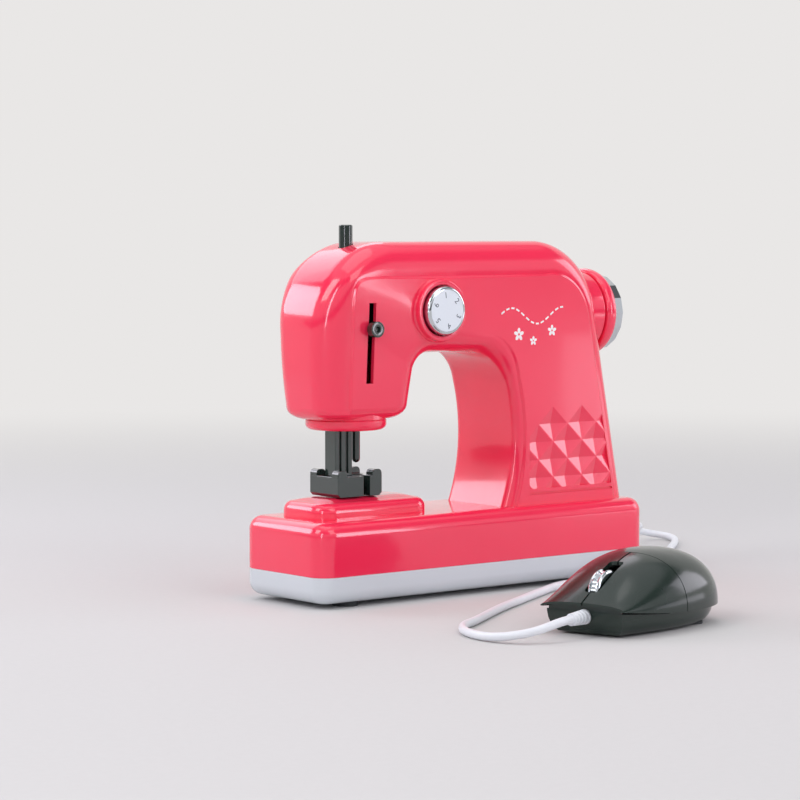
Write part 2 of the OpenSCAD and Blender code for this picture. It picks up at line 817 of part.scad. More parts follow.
// One row of points over the front half, from the outer middle line to the inner one.
// drop draws the row in all round, and depth lies that far below the outer face.
function arm_row(j, depth, drop, lower) = let (
    inset = depth + drop,
    border = panel_place(j),
    way = unit(border - outer_line[j]),
    back = unit(border - inner_line[j]),
    from = outer_line[j] + way * inset,
    to = inner_line[j] + back * inset,
    width = norm(border - outer_line[j]) - depth,
    share = column_share(j),
    edge = mix(arch_round, column_round, share) - depth,
    step_in = panel_step * share,
    fade = drop > 0 ? 0 : 1,
    outer_part = [for (k = [0:round_steps]) let (a = 90 * k / round_steps)
        [from + way * width * (1 - cos(a)), panel_step * fade + (round_d - depth) * (1 - sin(a))]],
    inner_part = [for (k = [round_steps:-1:0]) let (a = 90 * k / round_steps)
        [to + back * edge * (1 - cos(a)), step_in + edge * (1 - sin(a))]],
    panel = [[from + way * width - back * panel_bevel, 0], [to + back * (edge + panel_bevel), 0]],
    spots = [for (p = concat(outer_part, panel, inner_part)) let (q = p[0])
        [q[0], p[1] + inset - half_depth(q[1], taper_share(j)), q[1] - lower]]
) concat([[from[0], 0, from[1] - lower]], spots, [[to[0], 0, to[1] - lower]]);

// The head's floor, from its rounded edge to the middle plane
function floor_rows(depth) = let (
    r = head_edge_r - depth,
    rows = [for (a = floor_angles) arm_row(0, depth, r * (1 - cos(a)), r * sin(a))],
    low = rows[0],
    count = len(low) - 1
) concat([[for (k = [0:count]) mix(low[0], low[count], (k + 1) / (count + 2))]], rows);

function arm_grid(depth) = concat(
    floor_rows(depth),
    [for (j = [0:len(outer_line) - 1]) arm_row(j, depth, 0, 0)]);

module arm_half() {
    thick_sheet(arm_grid(shell_wall), arm_grid(0));
}

// Openings that both shells share
module arm_openings() {
    translate([needle_x, 0, arm_h - 2 * top_band]) cylinder(d = bar_d + 2 * slide_gap, h = 2 * top_band + over);
    translate([needle_x, 0, head_z - over]) cylinder(d = collar_d, h = collar_rise + over);
    translate([0, 0, shaft_z]) bar_x(shaft_collar_d, collar_right - shaft_collar_w, collar_right + over);
}

// Posts of one shell: its own wall is at the depth where the post starts
module shell_post_row() {
    for (p = shell_posts) translate([p[0], 0, p[1]])
        bar_y(post_d, post_start - half_depth(p[1], p[0] < head_right ? 1 : 0), 0);
}

// The flange below each shell that the arm's screws hold
module shell_flange() {
    block([column_left + post_d, -arm_d / 2 + shell_wall / 2, base_h],
          [column_foot_x - 2 * post_d, -flange_inset, base_h + flange_t]);
}

function column_side_x(z) = column_foot_x - (z - base_h) * tan(column_lean);

// Outline of the field of diamond pits, drawn in by a margin
module pit_field(margin) {
    high = pit_first_z + pit_h * (pit_rows / 2 + 1);
    side = column_band + panel_bevel + margin;
    polygon([
        [pit_left + margin, pit_base_z + margin],
        [column_side_x(pit_base_z) - side, pit_base_z + margin],
        [column_side_x(high) - side, high],
        [pit_left + margin, high]]);
}

// A four-sided pit that narrows to a point behind the panel; it starts a little in front of it
module pit() {
    grow = 1 + pit_front / pit_depth;
    w = grow * (pit_w - pit_ridge) / 2;
    h = grow * (pit_h - pit_ridge) / 2;
    y = -pit_front;
    polyhedron(
        [[-w, y, 0], [0, y, -h], [w, y, 0], [0, y, h], [0, pit_depth, 0]],
        [[0, 2, 1], [0, 3, 2], [0, 1, 4], [1, 2, 4], [2, 3, 4], [3, 0, 4]]);
}

module pits() {
    intersection() {
        for (row = [0:pit_rows - 1], col = [0:pit_cols - 1])
            translate([pit_first_x + pit_w * (col - (row % 2) / 2), -arm_d / 2, pit_first_z + row * pit_h / 2])
                pit();
        translate([0, -arm_d / 2 + pit_depth + over, 0]) rotate([90, 0, 0])
            linear_extrude(pit_depth + 2 * over) pit_field(0);
    }
}

module arm_front_shell() {
    color(pink) at_machine() difference() {
        union() {
            arm_half();
            shell_post_row();
            shell_flange();
            translate([dial_x, 0, dial_z])
                bar_y(dial_bezel_d, -arm_d / 2 - dial_lip, -arm_d / 2 + shell_wall + dial_gap);
            translate([0, -arm_d / 2 + shell_wall + pit_pad_t, 0]) rotate([90, 0, 0])
                linear_extrude(pit_pad_t + shell_wall / 2) pit_field(-panel_bevel);
        }
        arm_openings();
        pits();
        translate([dial_x, 0, dial_z]) {
            bar_y(dial_d + 2 * dial_gap, -arm_d / 2 - dial_lip - over, -arm_d / 2);
            bar_y(dial_stem_d + 2 * run_gap, -arm_d / 2 - over, -arm_d / 2 + shell_wall + dial_gap + over);
        }
        block([slot_x - slot_w / 2, -arm_d / 2 - over, slot_low],
              [slot_x + slot_w / 2, -arm_d / 4, slot_high]);
        block([pit_left, -arm_d / 2 - over, groove_z - groove_w / 2],
              [column_side_x(groove_z) - column_band - panel_bevel,
               -arm_d / 2 + groove_depth, groove_z + groove_w / 2]);
        for (p = shell_posts) translate([p[0], 0, p[1]]) bar_y(screw_d, -shell_screw_depth - over, over);
        for (p = arm_screw_places) translate([p[0], p[1], base_h - over])
            cylinder(d = screw_d, h = flange_t + 2 * over);
    }
}

module arm_rear_shell() {
    color(pink) at_machine() difference() {
        union() {
            mirror([0, 1, 0]) arm_half();
            mirror([0, 1, 0]) shell_post_row();
            mirror([0, 1, 0]) shell_flange();
            for (x = chassis_screw_xs) translate([x, 0, chassis_screw_z])
                bar_y(post_d, chassis_back, arm_d / 2 - shell_wall / 2);
        }
        arm_openings();
        for (p = shell_posts) translate([p[0], 0, p[1]]) {
            bar_y(screw_d, -over, arm_d / 2);
            bar_y(screw_head_d + 2 * slide_gap, shell_screw_seat, arm_d / 2 + over);
        }
        for (x = chassis_screw_xs) translate([x, 0, chassis_screw_z])
            bar_y(screw_d, chassis_back - over, chassis_back + shell_wall / 2);
        for (p = arm_screw_places) translate([p[0], p[1], base_h - over])
            cylinder(d = screw_d, h = flange_t + 2 * over);
    }
}

module shell_screws() {
    color(steel) at_machine() for (p = shell_posts) translate([p[0], shell_screw_seat, p[1]])
        rotate([90, 0, 0]) screw(shell_screw_seat + shell_screw_depth);
}

module arm_screws() {
    color(steel) at_machine() for (p = arm_screw_places) translate([p[0], p[1], base_h - base_wall])
        screw(base_wall + flange_t);
}

module head_collar() {
    r = collar_d / 2;
    color(pink) at_machine() difference() {
        translate([needle_x, 0, collar_z]) rotate_extrude() union() {
            translate([0, collar_edge_r]) square([r, collar_drop + collar_rise - collar_edge_r]);
            square([r - collar_edge_r, collar_edge_r + over / 2]);
            translate([r - collar_edge_r, collar_edge_r]) circle(r = collar_edge_r);
        }
        block([presser_x - presser_w / 2 - slide_gap, -presser_depth / 2 - slide_gap, collar_z - over],
              [presser_x + presser_w / 2 + slide_gap,
               presser_depth / 2 + slide_gap, head_z + collar_rise + over]);
        translate([rod_x, 0, collar_z - over])
            cylinder(d = rod_d + 2 * run_gap, h = collar_drop + collar_rise + 2 * over);
    }
}

module shaft_collar() {
    color(pink) at_machine() translate([0, 0, shaft_z]) difference() {
        bar_x(shaft_collar_d, collar_right - shaft_collar_w, collar_right);
        difference() {
            bar_x(shaft_collar_d - 2 * shaft_collar_wall,
                  collar_right - shaft_collar_w - over, collar_right - shaft_collar_wall);
            bar_x(shaft_d + 2 * shaft_collar_wall, collar_right - shaft_collar_w - over, collar_right);
        }
        bar_x(shaft_d + 2 * run_gap, collar_right - shaft_collar_w - over, collar_right + over);
    }
}

// Inner frame on the rear shell

module chassis() {
    motor_end = motor_x + motor_l;
    color(steel) at_machine() difference() {
        union() {
            block([needle_x - guide_half, chassis_front, chassis_low],
                  [motor_end, chassis_back, chassis_high]);
            block([needle_x - guide_half, chassis_front, chassis_low],
                  [needle_x + guide_half, chassis_back, guide_z + guide_t]);
            block([needle_x - guide_half, -guide_half, guide_z],
                  [needle_x + guide_half, chassis_back, guide_z + guide_t]);
            block([motor_x, chassis_front, motor_z - motor_d / 2], [motor_end, chassis_back, chassis_high]);
            for (x = [lug_head_x, lug_tail_x])
                block([x - lug_t / 2, -lug_front, shaft_z - lug_half],
                      [x + lug_t / 2, chassis_back, shaft_z + lug_half]);
            for (x = [motor_x, motor_end - lug_t])
                block([x, motor_flat / 2, motor_z - motor_flat / 2],
                      [x + lug_t, chassis_back, motor_z + motor_flat / 2]);
        }
        translate([0, 0, shaft_z]) bar_x(shaft_d + 2 * run_gap, lug_head_x - lug_t, lug_tail_x + lug_t);
        translate([needle_x, 0, guide_z - over]) cylinder(d = bar_d + 2 * run_gap, h = guide_t + 2 * over);
        for (x = chassis_screw_xs) translate([x, 0, chassis_screw_z])
            bar_y(screw_d, chassis_front - over, chassis_back + over);
    }
}

module chassis_screws() {
    color(steel) at_machine() for (x = chassis_screw_xs) translate([x, chassis_front, chassis_screw_z])
        rotate([-90, 0, 0]) screw(chassis_t + shell_wall / 2);
}

module motor() {
    color(steel) at_machine() translate([0, 0, motor_z]) difference() {
        union() {
            intersection() {
                bar_x(motor_d, motor_x, motor_x + motor_l);
                block([motor_x, -motor_flat / 2, -motor_d], [motor_x + motor_l, motor_flat / 2, motor_d]);
            }
            bar_x(motor_d / 3, motor_x - motor_nose, motor_x);
        }
        bar_x(motor_shaft_d + 2 * run_gap, motor_x - motor_nose - over, motor_x + motor_l / 2);
    }
}

module motor_strap() {
    r = motor_d / 2;
    x0 = motor_x + (motor_l - strap_w) / 2;
    color(steel) at_machine() translate([x0, 0, motor_z]) difference() {
        block([0, -motor_flat / 2 - strap_t, -r - strap_t], [strap_w, chassis_front, r + strap_t]);
        block([-over, -motor_flat / 2, -r], [strap_w + over, chassis_front + over, r]);
    }
}

// Handwheel, shaft, gears and crank

module main_shaft() {
    color(steel) at_machine() translate([0, 0, shaft_z]) bar_x(shaft_d, crank_left, cap_left + cap_w / 2);
}

module handwheel_rim() {
    r = wheel_d / 2;
    color(pink) at_machine() translate([wheel_left, 0, shaft_z]) rotate([0, 90, 0])
        rotate_extrude() difference() {
        union() {
            square([r - wheel_edge_r, wheel_w]);
            translate([0, wheel_edge_r]) square([r, wheel_w - 2 * wheel_edge_r]);
            for (y = [wheel_edge_r, wheel_w - wheel_edge_r]) translate([r - wheel_edge_r, y])
                circle(r = wheel_edge_r);
        }
        translate([-over, -over]) square([over + shaft_d / 2, wheel_w + 2 * over]);
        translate([-wheel_d, -over]) square([wheel_d, wheel_w + 2 * over]);
    }
}

module handwheel_cap() {
    r = cap_d / 2 / cos(180 / cap_flats);
    color(shine) at_machine() translate([cap_left, 0, shaft_z]) difference() {
        rotate([90, 0, 90]) linear_extrude(cap_w)
            polygon([for (k = [0:cap_flats - 1]) r * [cos(360 * k / cap_flats), sin(360 * k / cap_flats)]]);
        bar_x(shaft_d, -over, cap_w / 2);
        bar_x(cap_d - 3 * cap_dish, cap_w - cap_dish, cap_w + over);
    }
}

// Outline of a spur gear with involute flanks
function involute(a) = tan(a) * 180 / PI - a;
function flank(teeth, rho) = let (
    r = gear_module * teeth / 2,
    base_r = r * cos(pressure_angle),
    a = rho > base_r ? acos(base_r / rho) : 0,
    play = tooth_play_share * gear_module / r * 180 / PI / 2
) 90 / teeth - play + involute(pressure_angle) - involute(a);
function gear_outline(teeth) = let (
    r = gear_module * teeth / 2,
    low = max(r * cos(pressure_angle), r - root_share * gear_module),
    high = r + tip_share * gear_module,
    root = r - root_share * gear_module,
    radii = [for (k = [0:flank_steps]) mix(low, high, k / flank_steps)],
    up = [for (rho = radii) [rho, -flank(teeth, rho)]],
    down = [for (k = [flank_steps:-1:0]) [radii[k], flank(teeth, radii[k])]],
    foot = flank(teeth, low),
    tooth = concat([[root, -foot]], root < low ? up : tail(up), down, root < low ? [[root, foot]] : [])
) [for (t = [0:teeth - 1]) each [for (p = tooth) let (a = p[1] + 360 * t / teeth) p[0] * [cos(a), sin(a)]]];

module drive_gear() {
    color(white) at_machine() translate([gear_x, 0, shaft_z]) difference() {
        rotate([90, 0, 90]) linear_extrude(gear_w) polygon(gear_outline(gear_teeth));
        bar_x(shaft_d, -over, gear_w + over);
    }
}

module motor_pinion() {
    color(white) at_machine() translate([gear_x, 0, motor_z]) {
        rotate([90, 0, 90]) linear_extrude(pinion_w) polygon(gear_outline(pinion_teeth));
        bar_x(motor_shaft_d, pinion_w - over, motor_x - gear_x + motor_l / 3);
    }
}

module crank_disc() {
    rise = yoke_z - shaft_z;
    color(dark) at_machine() translate([crank_left, 0, shaft_z]) {
        difference() {
            bar_x(crank_d, 0, crank_t);
            bar_x(shaft_d, -over, crank_t + over);
        }
        translate([0, sqrt(crank_throw * crank_throw - rise * rise), rise])
            bar_x(crank_pin_d, -crank_pin_l, over);
    }
}

// Needle group

module needle_bar() {
    color(dark) at_machine() translate([needle_x, 0, yoke_z - hub_low])
        cylinder(d = bar_d, h = arm_h + bar_top - yoke_z + hub_low);
}

module needle_yoke() {
    color(dark) at_machine() difference() {
        union() {
            block([hub_left, -hub_depth / 2, yoke_z - hub_low],
                  [hub_right, hub_depth / 2, yoke_z + yoke_h / 2]);
            block([hub_right - over / 2, -yoke_half, yoke_z - yoke_h / 2],
                  [hub_right + yoke_t, yoke_half, yoke_z + yoke_h / 2]);
        }
        block([hub_right, -yoke_half + yoke_t / 2, yoke_z - yoke_slot_h / 2],
              [hub_right + yoke_t + over, yoke_half - yoke_t / 2, yoke_z + yoke_slot_h / 2]);
        translate([needle_x, 0, yoke_z - hub_low - over])
            cylinder(d = bar_d, h = hub_low + yoke_h + 2 * over);
        translate([rod_x, 0, yoke_z - hub_low - over]) cylinder(d = rod_d, h = hub_low / 2 + over);
    }
}

module needle_rod() {
    tip = rod_d / 2;
    color(dark) at_machine() translate([rod_x, 0, needle_rest_z]) rotate_extrude() {
        intersection() {
            translate([0, tip]) circle(r = tip);
            square([tip, rod_d]);
        }
        translate([0, tip]) square([tip, yoke_z - hub_low / 2 - needle_rest_z - tip]);
    }
}

module take_up_lever() {
    front = -arm_d / 2 + slide_gap;
    color(dark) at_machine() {
        block([slot_x - lever_w / 2, front - over / 2, lever_z - lever_h / 2],
              [slot_x + lever_w / 2, -hub_depth / 2, lever_z + lever_h / 2]);
        translate([slot_x, 0, lever_z]) difference() {
            bar_y(lever_knob_d, front - lever_knob_h, front);
            bar_y(lever_knob_d / 3, front - lever_knob_h - over, front - lever_knob_h / 2);
        }
    }
}

// Presser group

module presser_bar() {
    low = foot_sole_z + foot_body_h;
    flange_z = head_z + collar_rise + slide_gap;
    color(dark) at_machine() difference() {
        union() {
            block([presser_x - presser_w / 2, -presser_depth / 2, low],
                  [presser_x + presser_w / 2, presser_depth / 2, presser_top_z]);
            block([presser_x - presser_w / 2 - presser_flange_lip,
                   -presser_depth / 2 - presser_flange_lip, flange_z],
                  [presser_x + presser_w / 2,
                   presser_depth / 2 + presser_flange_lip, flange_z + presser_flange]);
        }
        for (s = [-1, 1]) translate([presser_x + s * presser_w / 5, 0, 0])
            block([-presser_groove / 2, -presser_depth / 2 - over, low + presser_groove],
                  [presser_groove / 2, -presser_depth / 2 + presser_groove, collar_z + collar_drop / 2]);
    }
}

module presser_foot() {
    x0 = needle_x - foot_w / 2;
    x1 = needle_x + foot_w / 2;
    y1 = foot_depth / 2;
    low = foot_sole_z;
    mid = low + foot_body_h;
    color(dark) at_machine() difference() {
        union() {
            translate([0, y1, 0]) rotate([90, 0, 0]) linear_extrude(foot_depth) polygon([
                [x0 + foot_chamfer, low], [x1 - foot_chamfer, low], [x1, low + foot_chamfer],
                [x1, mid], [x0, mid], [x0, low + foot_chamfer]]);
            for (sx = [0, 1], sy = [0, 1])
                translate([sx * (foot_w - foot_horn_w), sy * (foot_depth - foot_horn_d), 0])
                    block([x0, -y1, mid - over], [x0 + foot_horn_w, -y1 + foot_horn_d, mid + foot_horn_h]);
        }
        block([rod_x - foot_groove_w, -y1 - over, low - over], [rod_x, -foot_depth / 5, mid + over]);
        translate([rod_x, 0, low - over]) cylinder(d = rod_d + 2 * foot_chamfer, h = foot_body_h + 2 * over);
    }
}

// Dial

module dial_knob() {
    front = -arm_d / 2 - dial_h;
    back = -arm_d / 2 - slide_gap;
    color(shine) at_machine() translate([dial_x, 0, dial_z]) difference() {
        union() {
            bar_y(dial_d, front, back);
            bar_y(dial_stem_d, back - over, -arm_d / 2 + dial_stem_l);
        }
        bar_y(dial_face_d, front - over, front + dial_face_t);
    }
}

module dial_face() {
    front = -arm_d / 2 - dial_h;
    color(white) at_machine() translate([dial_x, 0, dial_z]) bar_y(dial_face_d, front, front + dial_face_t);
}

module dial_clip() {
    near = -arm_d / 2 + shell_wall + dial_gap + slide_gap;
    color(steel) at_machine() translate([dial_x, 0, dial_z]) difference() {
        bar_y(dial_clip_d, near, near + dial_clip_t);
        bar_y(dial_stem_d, near - over, near + dial_clip_t + over);
    }
}

// Pedal: x runs from the nose to the tail, y across

function tail_share(s) = s < pedal_crest_share ? 1 : let (
    t = (s - pedal_crest_share) / (1 - pedal_crest_share)
) max(pow(max(1 - pow(t, pedal_tail_power), 0), 1 / pedal_round_power), pedal_tail_min_share);
function crest_share(s) = s < pedal_crest_share ? sin(90 * s / pedal_crest_share) : 1;
function pedal_half(s) = pedal_w / 2 * mix(pedal_nose_share, 1, crest_share(s)) * tail_share(s);
function pedal_waist(s) = pedal_h * mix(pedal_waist_nose_share, pedal_waist_tail_share, crest_share(s));
function pedal_rise(s) = pedal_h * (mix(pedal_nose_h_share, 1, crest_share(s))
    - mix(pedal_waist_nose_share, pedal_waist_tail_share, crest_share(s))) * tail_share(s);
function bulge(v) = sign(v) * pow(abs(v), 2 / pedal_section_power);
function dome_z(x, y) = let (s = x / pedal_l, v = min(abs(y) / pedal_half(s), 1))
    pedal_waist(s) + pedal_rise(s) * pow(1 - pow(v, pedal_section_power), 1 / pedal_section_power);
function pedal_shares(from) = [for (k = [0:pedal_rows]) from + (1 - from) * sin(90 * k / pedal_rows)];

// Outline of the pedal seen from above, drawn in by a margin
function pedal_outline(margin) = let (
    shares = [for (k = [0:pedal_steps]) sin(90 * k / pedal_steps)],
    side = [for (s = shares)
        [margin + s * (pedal_l - 2 * margin), max(pedal_half(s) - margin, pedal_half(1))]]
) concat([for (p = side) [p[0], -p[1]]], reverse(side));

function rim_z(x) = let (s = x / pedal_l)
    pedal_waist(s) - (s < pedal_split_share ? button_drop * (1 - s / pedal_split_share) : 0) - pedal_gap / 2;
function pedal_ring(margin, share) = [for (p = pedal_outline(margin))
    [p[0], p[1], mix(pedal_floor, rim_z(p[0]), share)]];
function pedal_level(margin, z) = [for (p = pedal_outline(margin)) [p[0], p[1], z]];

module pedal_base() {
    floor_z = pedal_floor + pedal_floor_t;
    rim = pedal_rim_inset;
    color(dark) at_pedal() difference() {
        union() {
            skin([
                pedal_level(rim + pedal_foot_inset, pedal_floor),
                pedal_ring(rim + pedal_wall / 3, pedal_side_share),
                pedal_ring(rim, 1),
                pedal_ring(rim + pedal_wall, 1),
                pedal_level(rim + pedal_foot_inset + pedal_wall, floor_z)]);
            for (s = [-1, 1]) translate([pedal_screw_x, s * pedal_screw_y, floor_z - over / 2])
                cylinder(d = pedal_post_d, h = pedal_post_z - floor_z + over / 2);
            for (s = [-1, 1]) scroll_post(s, floor_z);
            for (t = [-1, 0, 1]) translate([pin_x, t * (pin_half - pin_post_t / 2), 0])
                block([-pin_post_l / 2, -pin_post_t / 2, floor_z - over / 2],
                      [pin_post_l / 2, pin_post_t / 2, pin_z + pin_d]);
            block([switch_x - pedal_board_l / 2, -pedal_board_d / 4, floor_z - over / 2],
                  [switch_x + pedal_board_l / 2, pedal_board_d / 4, floor_z + pedal_board_rise]);
        }
        for (s = [-1, 1]) translate([pedal_screw_x, s * pedal_screw_y, 0]) {
            cylinder(d = screw_d, h = pedal_post_z + over);
            cylinder(d = screw_head_d + 2 * slide_gap, h = floor_z + screw_head_h / 2);
        }
        translate([pin_x, 0, pin_z]) bar_y(pin_d, -pin_half - over, pin_half + over);
        translate([scroll_x, 0, scroll_z])
            bar_y(scroll_axle_d, -scroll_post_out - over, scroll_post_out + over);
        translate([0, 0, relief_z]) bar_x(relief_tip_d, -over, relief_root + 3 * pedal_wall);
        translate([0, 0, relief_z]) bar_x(relief_d, -over, relief_root);
    }
}
module scroll_post(s, floor_z) {
    y0 = s > 0 ? scroll_post_in : -scroll_post_out;
    block([scroll_x - scroll_axle_d, y0, floor_z - over / 2],
          [scroll_x + scroll_axle_d, y0 + scroll_post_t, scroll_z + scroll_axle_d]);
}

// The dome over a range of its length, as the grid of its outer or inner face
function dome_point(s, a, x, depth) = [
    x,
    (pedal_half(s) - min(depth, pedal_half(s) / 2)) * bulge(cos(a)),
    pedal_waist(s) + (pedal_rise(s) - min(depth, pedal_rise(s) / 2)) * pow(sin(a), 2 / pedal_section_power)];

module pedal_top() {
    from = pedal_split_share + pedal_gap / pedal_l;
    post_top = dome_z(pedal_screw_x + pedal_post_d / 2, pedal_screw_y + pedal_post_d / 2) - pedal_wall / 3;
    function grid(depth) = [for (s = pedal_shares(from))
        let (x = pedal_l * from + (s - from) * (pedal_l - depth / (1 - from)))
        [for (k = [0:pedal_cols]) dome_point(s, 180 - 180 * k / pedal_cols, x, depth)]];
    color(dark) at_pedal() difference() {
        union() {
            thick_sheet(grid(0), grid(pedal_wall));
            for (s = [-1, 1]) translate([pedal_screw_x, s * pedal_screw_y, pedal_post_z])
                cylinder(d = pedal_post_d, h = post_top - pedal_post_z);
        }
        for (s = [-1, 1]) translate([pedal_screw_x, s * pedal_screw_y, pedal_post_z - over])
            cylinder(d = screw_d, h = pedal_screw_l + over);
    }
}

// One button: side is -1 for the left one and 1 for the right one
module pedal_button(side) {
    function grid(depth) = [for (j = [0:button_rows]) let (s = pedal_split_share * j / button_rows)
        [for (k = [0:button_cols])
            let (p = dome_point(s, 90 - 90 * k / button_cols, pedal_l * s, depth), g = button_gap / 2)
            [p[0], g + p[1] * (1 - g / pedal_half(s)), p[2]]]];
    plunger_top = dome_z(switch_x - plunger_d / 2, switch_y + plunger_d / 2) - pedal_wall / 3;
    lug_y = button_lug_in;
    lug_top = dome_z(pin_x - pin_post_l / 2, lug_y + button_lug_w) - pedal_wall / 3;
    mirror([0, side < 0 ? 1 : 0, 0]) difference() {
        union() {
            thick_sheet(grid(0), grid(pedal_wall));
            block([pin_x - lug_ring_d / 2, lug_y, pin_z],
                  [pin_x + lug_ring_d / 2, lug_y + button_lug_w, lug_top]);
            translate([pin_x, 0, pin_z]) bar_y(lug_ring_d, lug_y, lug_y + button_lug_w);
            translate([switch_x, switch_y, plunger_z])
                cylinder(d = plunger_d, h = plunger_top - plunger_z);
        }
        block([scroll_x - scroll_d / 2 - scroll_play, -over, 0],
              [scroll_x + scroll_d / 2 + scroll_play, scroll_w / 2 + scroll_play / 2, pedal_h]);
        translate([pin_x, 0, pin_z]) bar_y(pin_d + 2 * run_gap, lug_y - over, lug_y + button_lug_w + over);
    }
}

module pedal_button_left() {
    color(dark) at_pedal() pedal_button(-1);
}

module pedal_button_right() {
    color(dark) at_pedal() pedal_button(1);
}

module pedal_pin() {
    color(steel) at_pedal() translate([pin_x, 0, pin_z]) bar_y(pin_d, -pin_half, pin_half);
}

module scroll_wheel() {
    r = scroll_d / 2;
    color(shine) at_pedal() translate([scroll_x, 0, scroll_z]) difference() {
        bar_y(scroll_d, -scroll_w / 2, scroll_w / 2);
        bar_y(scroll_axle_d + 2 * run_gap, -scroll_w, scroll_w);
        for (k = [0:scroll_grips - 1]) rotate([0, 360 * k / scroll_grips, 0])
            translate([r, 0, 0]) bar_y(2 * scroll_grip_depth, -scroll_w, scroll_w);
    }
}

module scroll_axle() {
    color(steel) at_pedal() translate([scroll_x, 0, scroll_z])
        bar_y(scroll_axle_d, -scroll_post_out, scroll_post_out);
}

module pedal_board() {
    color(green) at_pedal() translate([switch_x, 0, pedal_board_z])
        block([-pedal_board_l / 2, -pedal_board_d / 2, 0],
              [pedal_board_l / 2, pedal_board_d / 2, pedal_board_t]);
}

module pedal_switches() {
    z = pedal_board_z + pedal_board_t + switch_h / 2;
    color(black) at_pedal() for (s = [-1, 1]) translate([switch_x, s * switch_y, z])
        cube([switch_l, switch_l, switch_h], center = true);
}

module pedal_screws() {
    seat = pedal_floor + pedal_floor_t + screw_head_h / 2;
    color(steel) at_pedal() for (s = [-1, 1]) translate([pedal_screw_x, s * pedal_screw_y, seat])
        screw(pedal_post_z + pedal_screw_l - seat - over);
}

module pedal_feet() {
    color(black) at_pedal() for (p = pedal_pads) translate([p[0] * pedal_l, p[1] * pedal_w, 0])
        cylinder(d = pedal_pad_d, h = pedal_floor);
}

module strain_relief() {
    pitch = relief_l / relief_ribs;
    color(pale) at_pedal() translate([0, 0, relief_z]) {
        bar_x(relief_tip_d - 2 * relief_rib, relief_x, relief_root);
        for (k = [0:relief_ribs - 1])
            bar_x(mix(relief_tip_d, relief_d, k / (relief_ribs - 1)),
                  relief_x + k * pitch, relief_x + (k + relief_rib_share) * pitch);
        bar_x(relief_d, relief_root - pitch * (1 - relief_rib_share), relief_root);
    }
}

// Cord

// A smooth curve through the route's places
function route_at(t) = let (
    n = len(route) - 1,
    k = min(floor(t), n - 1),
    u = t - k,
    a = route[max(k - 1, 0)],
    b = route[k],
    c = route[k + 1],
    d = route[min(k + 2, n)]
) b + u * (c - a) / 2 + u * u * (a - 2.5 * b + 2 * c - d / 2) + u * u * u * (-a + 3 * b - 3 * c + d) / 2;

function cord_ring(t) = let (
    e = cord_way_share,
    n = len(route) - 1,
    way = t < e ? [1, 0, 0] : t > n - e ? pedal_way : unit(route_at(t + e) - route_at(t - e)),
    side = unit(cross([0, 0, 1], way)),
    up = cross(way, side),
    c = route_at(t)
) [for (k = [0:cord_sides - 1]) let (a = 360 * (k + 0.5) / cord_sides)
    c + cord_d / 2 * (cos(a) * side + sin(a) * up)];

module cord() {
    color(white) at_machine() skin([for (t = cord_steps) cord_ring(t)]);
}

base_tray();
base_housing();
battery_door();
battery_door_screw();
battery_contacts();
base_screws();
base_feet();
needle_plate();
arm_front_shell();
arm_rear_shell();
shell_screws();
arm_screws();
head_collar();
shaft_collar();
chassis();
chassis_screws();
motor();
motor_strap();
circuit_board();
speaker();
cord_gland();
main_shaft();
handwheel_rim();
handwheel_cap();
drive_gear();
crank_disc();
motor_pinion();
needle_bar();
needle_yoke();
needle_rod();
take_up_lever();
presser_bar();
presser_foot();
dial_knob();
dial_face();
dial_clip();
pedal_base();
pedal_top();
pedal_screws();
pedal_feet();
pedal_button_left();
pedal_button_right();
pedal_pin();
scroll_wheel();
scroll_axle();
pedal_board();
pedal_switches();
strain_relief();
cord();
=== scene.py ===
"""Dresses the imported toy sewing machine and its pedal: moulded housings, plated trim, cord and studio."""

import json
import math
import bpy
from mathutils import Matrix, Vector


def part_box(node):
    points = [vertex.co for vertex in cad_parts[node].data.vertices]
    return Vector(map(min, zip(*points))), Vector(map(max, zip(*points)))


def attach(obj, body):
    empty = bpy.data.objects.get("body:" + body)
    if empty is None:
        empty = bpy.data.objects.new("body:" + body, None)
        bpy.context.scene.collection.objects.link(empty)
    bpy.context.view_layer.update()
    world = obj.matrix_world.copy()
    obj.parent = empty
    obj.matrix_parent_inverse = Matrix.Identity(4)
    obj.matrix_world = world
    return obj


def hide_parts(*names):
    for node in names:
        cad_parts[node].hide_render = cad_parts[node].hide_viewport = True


bl_info = {
    "name": "Toy sewing machine",
    "version": (1, 0, 0),
    "blender": (4, 5, 0),
    "location": "View3D > Sidebar > Toy",
    "description": "Builds the moulded shells, trim, pedal and cord of a toy sewing machine on its CAD frame",
    "category": "Object",
}

import bmesh
import bpy
from mathutils import Matrix, Vector

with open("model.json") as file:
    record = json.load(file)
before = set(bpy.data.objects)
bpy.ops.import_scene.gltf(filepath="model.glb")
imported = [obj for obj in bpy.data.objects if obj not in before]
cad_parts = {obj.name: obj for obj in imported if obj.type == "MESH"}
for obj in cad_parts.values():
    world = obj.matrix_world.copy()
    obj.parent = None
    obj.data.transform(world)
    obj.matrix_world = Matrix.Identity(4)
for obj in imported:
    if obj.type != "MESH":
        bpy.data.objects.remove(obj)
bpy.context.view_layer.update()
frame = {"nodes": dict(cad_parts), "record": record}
NODES = frame["nodes"]
MM = 0.001


def node_box(name):
    """Lowest and highest corners of a CAD node, in millimetres."""
    low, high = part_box(name)
    return Vector(low) / MM, Vector(high) / MM


# The machine's middle plane in the frame, in millimetres
MID_Y = sum(corner.y for corner in node_box("base_housing")) / 2


# Sizes and colours that a user would change


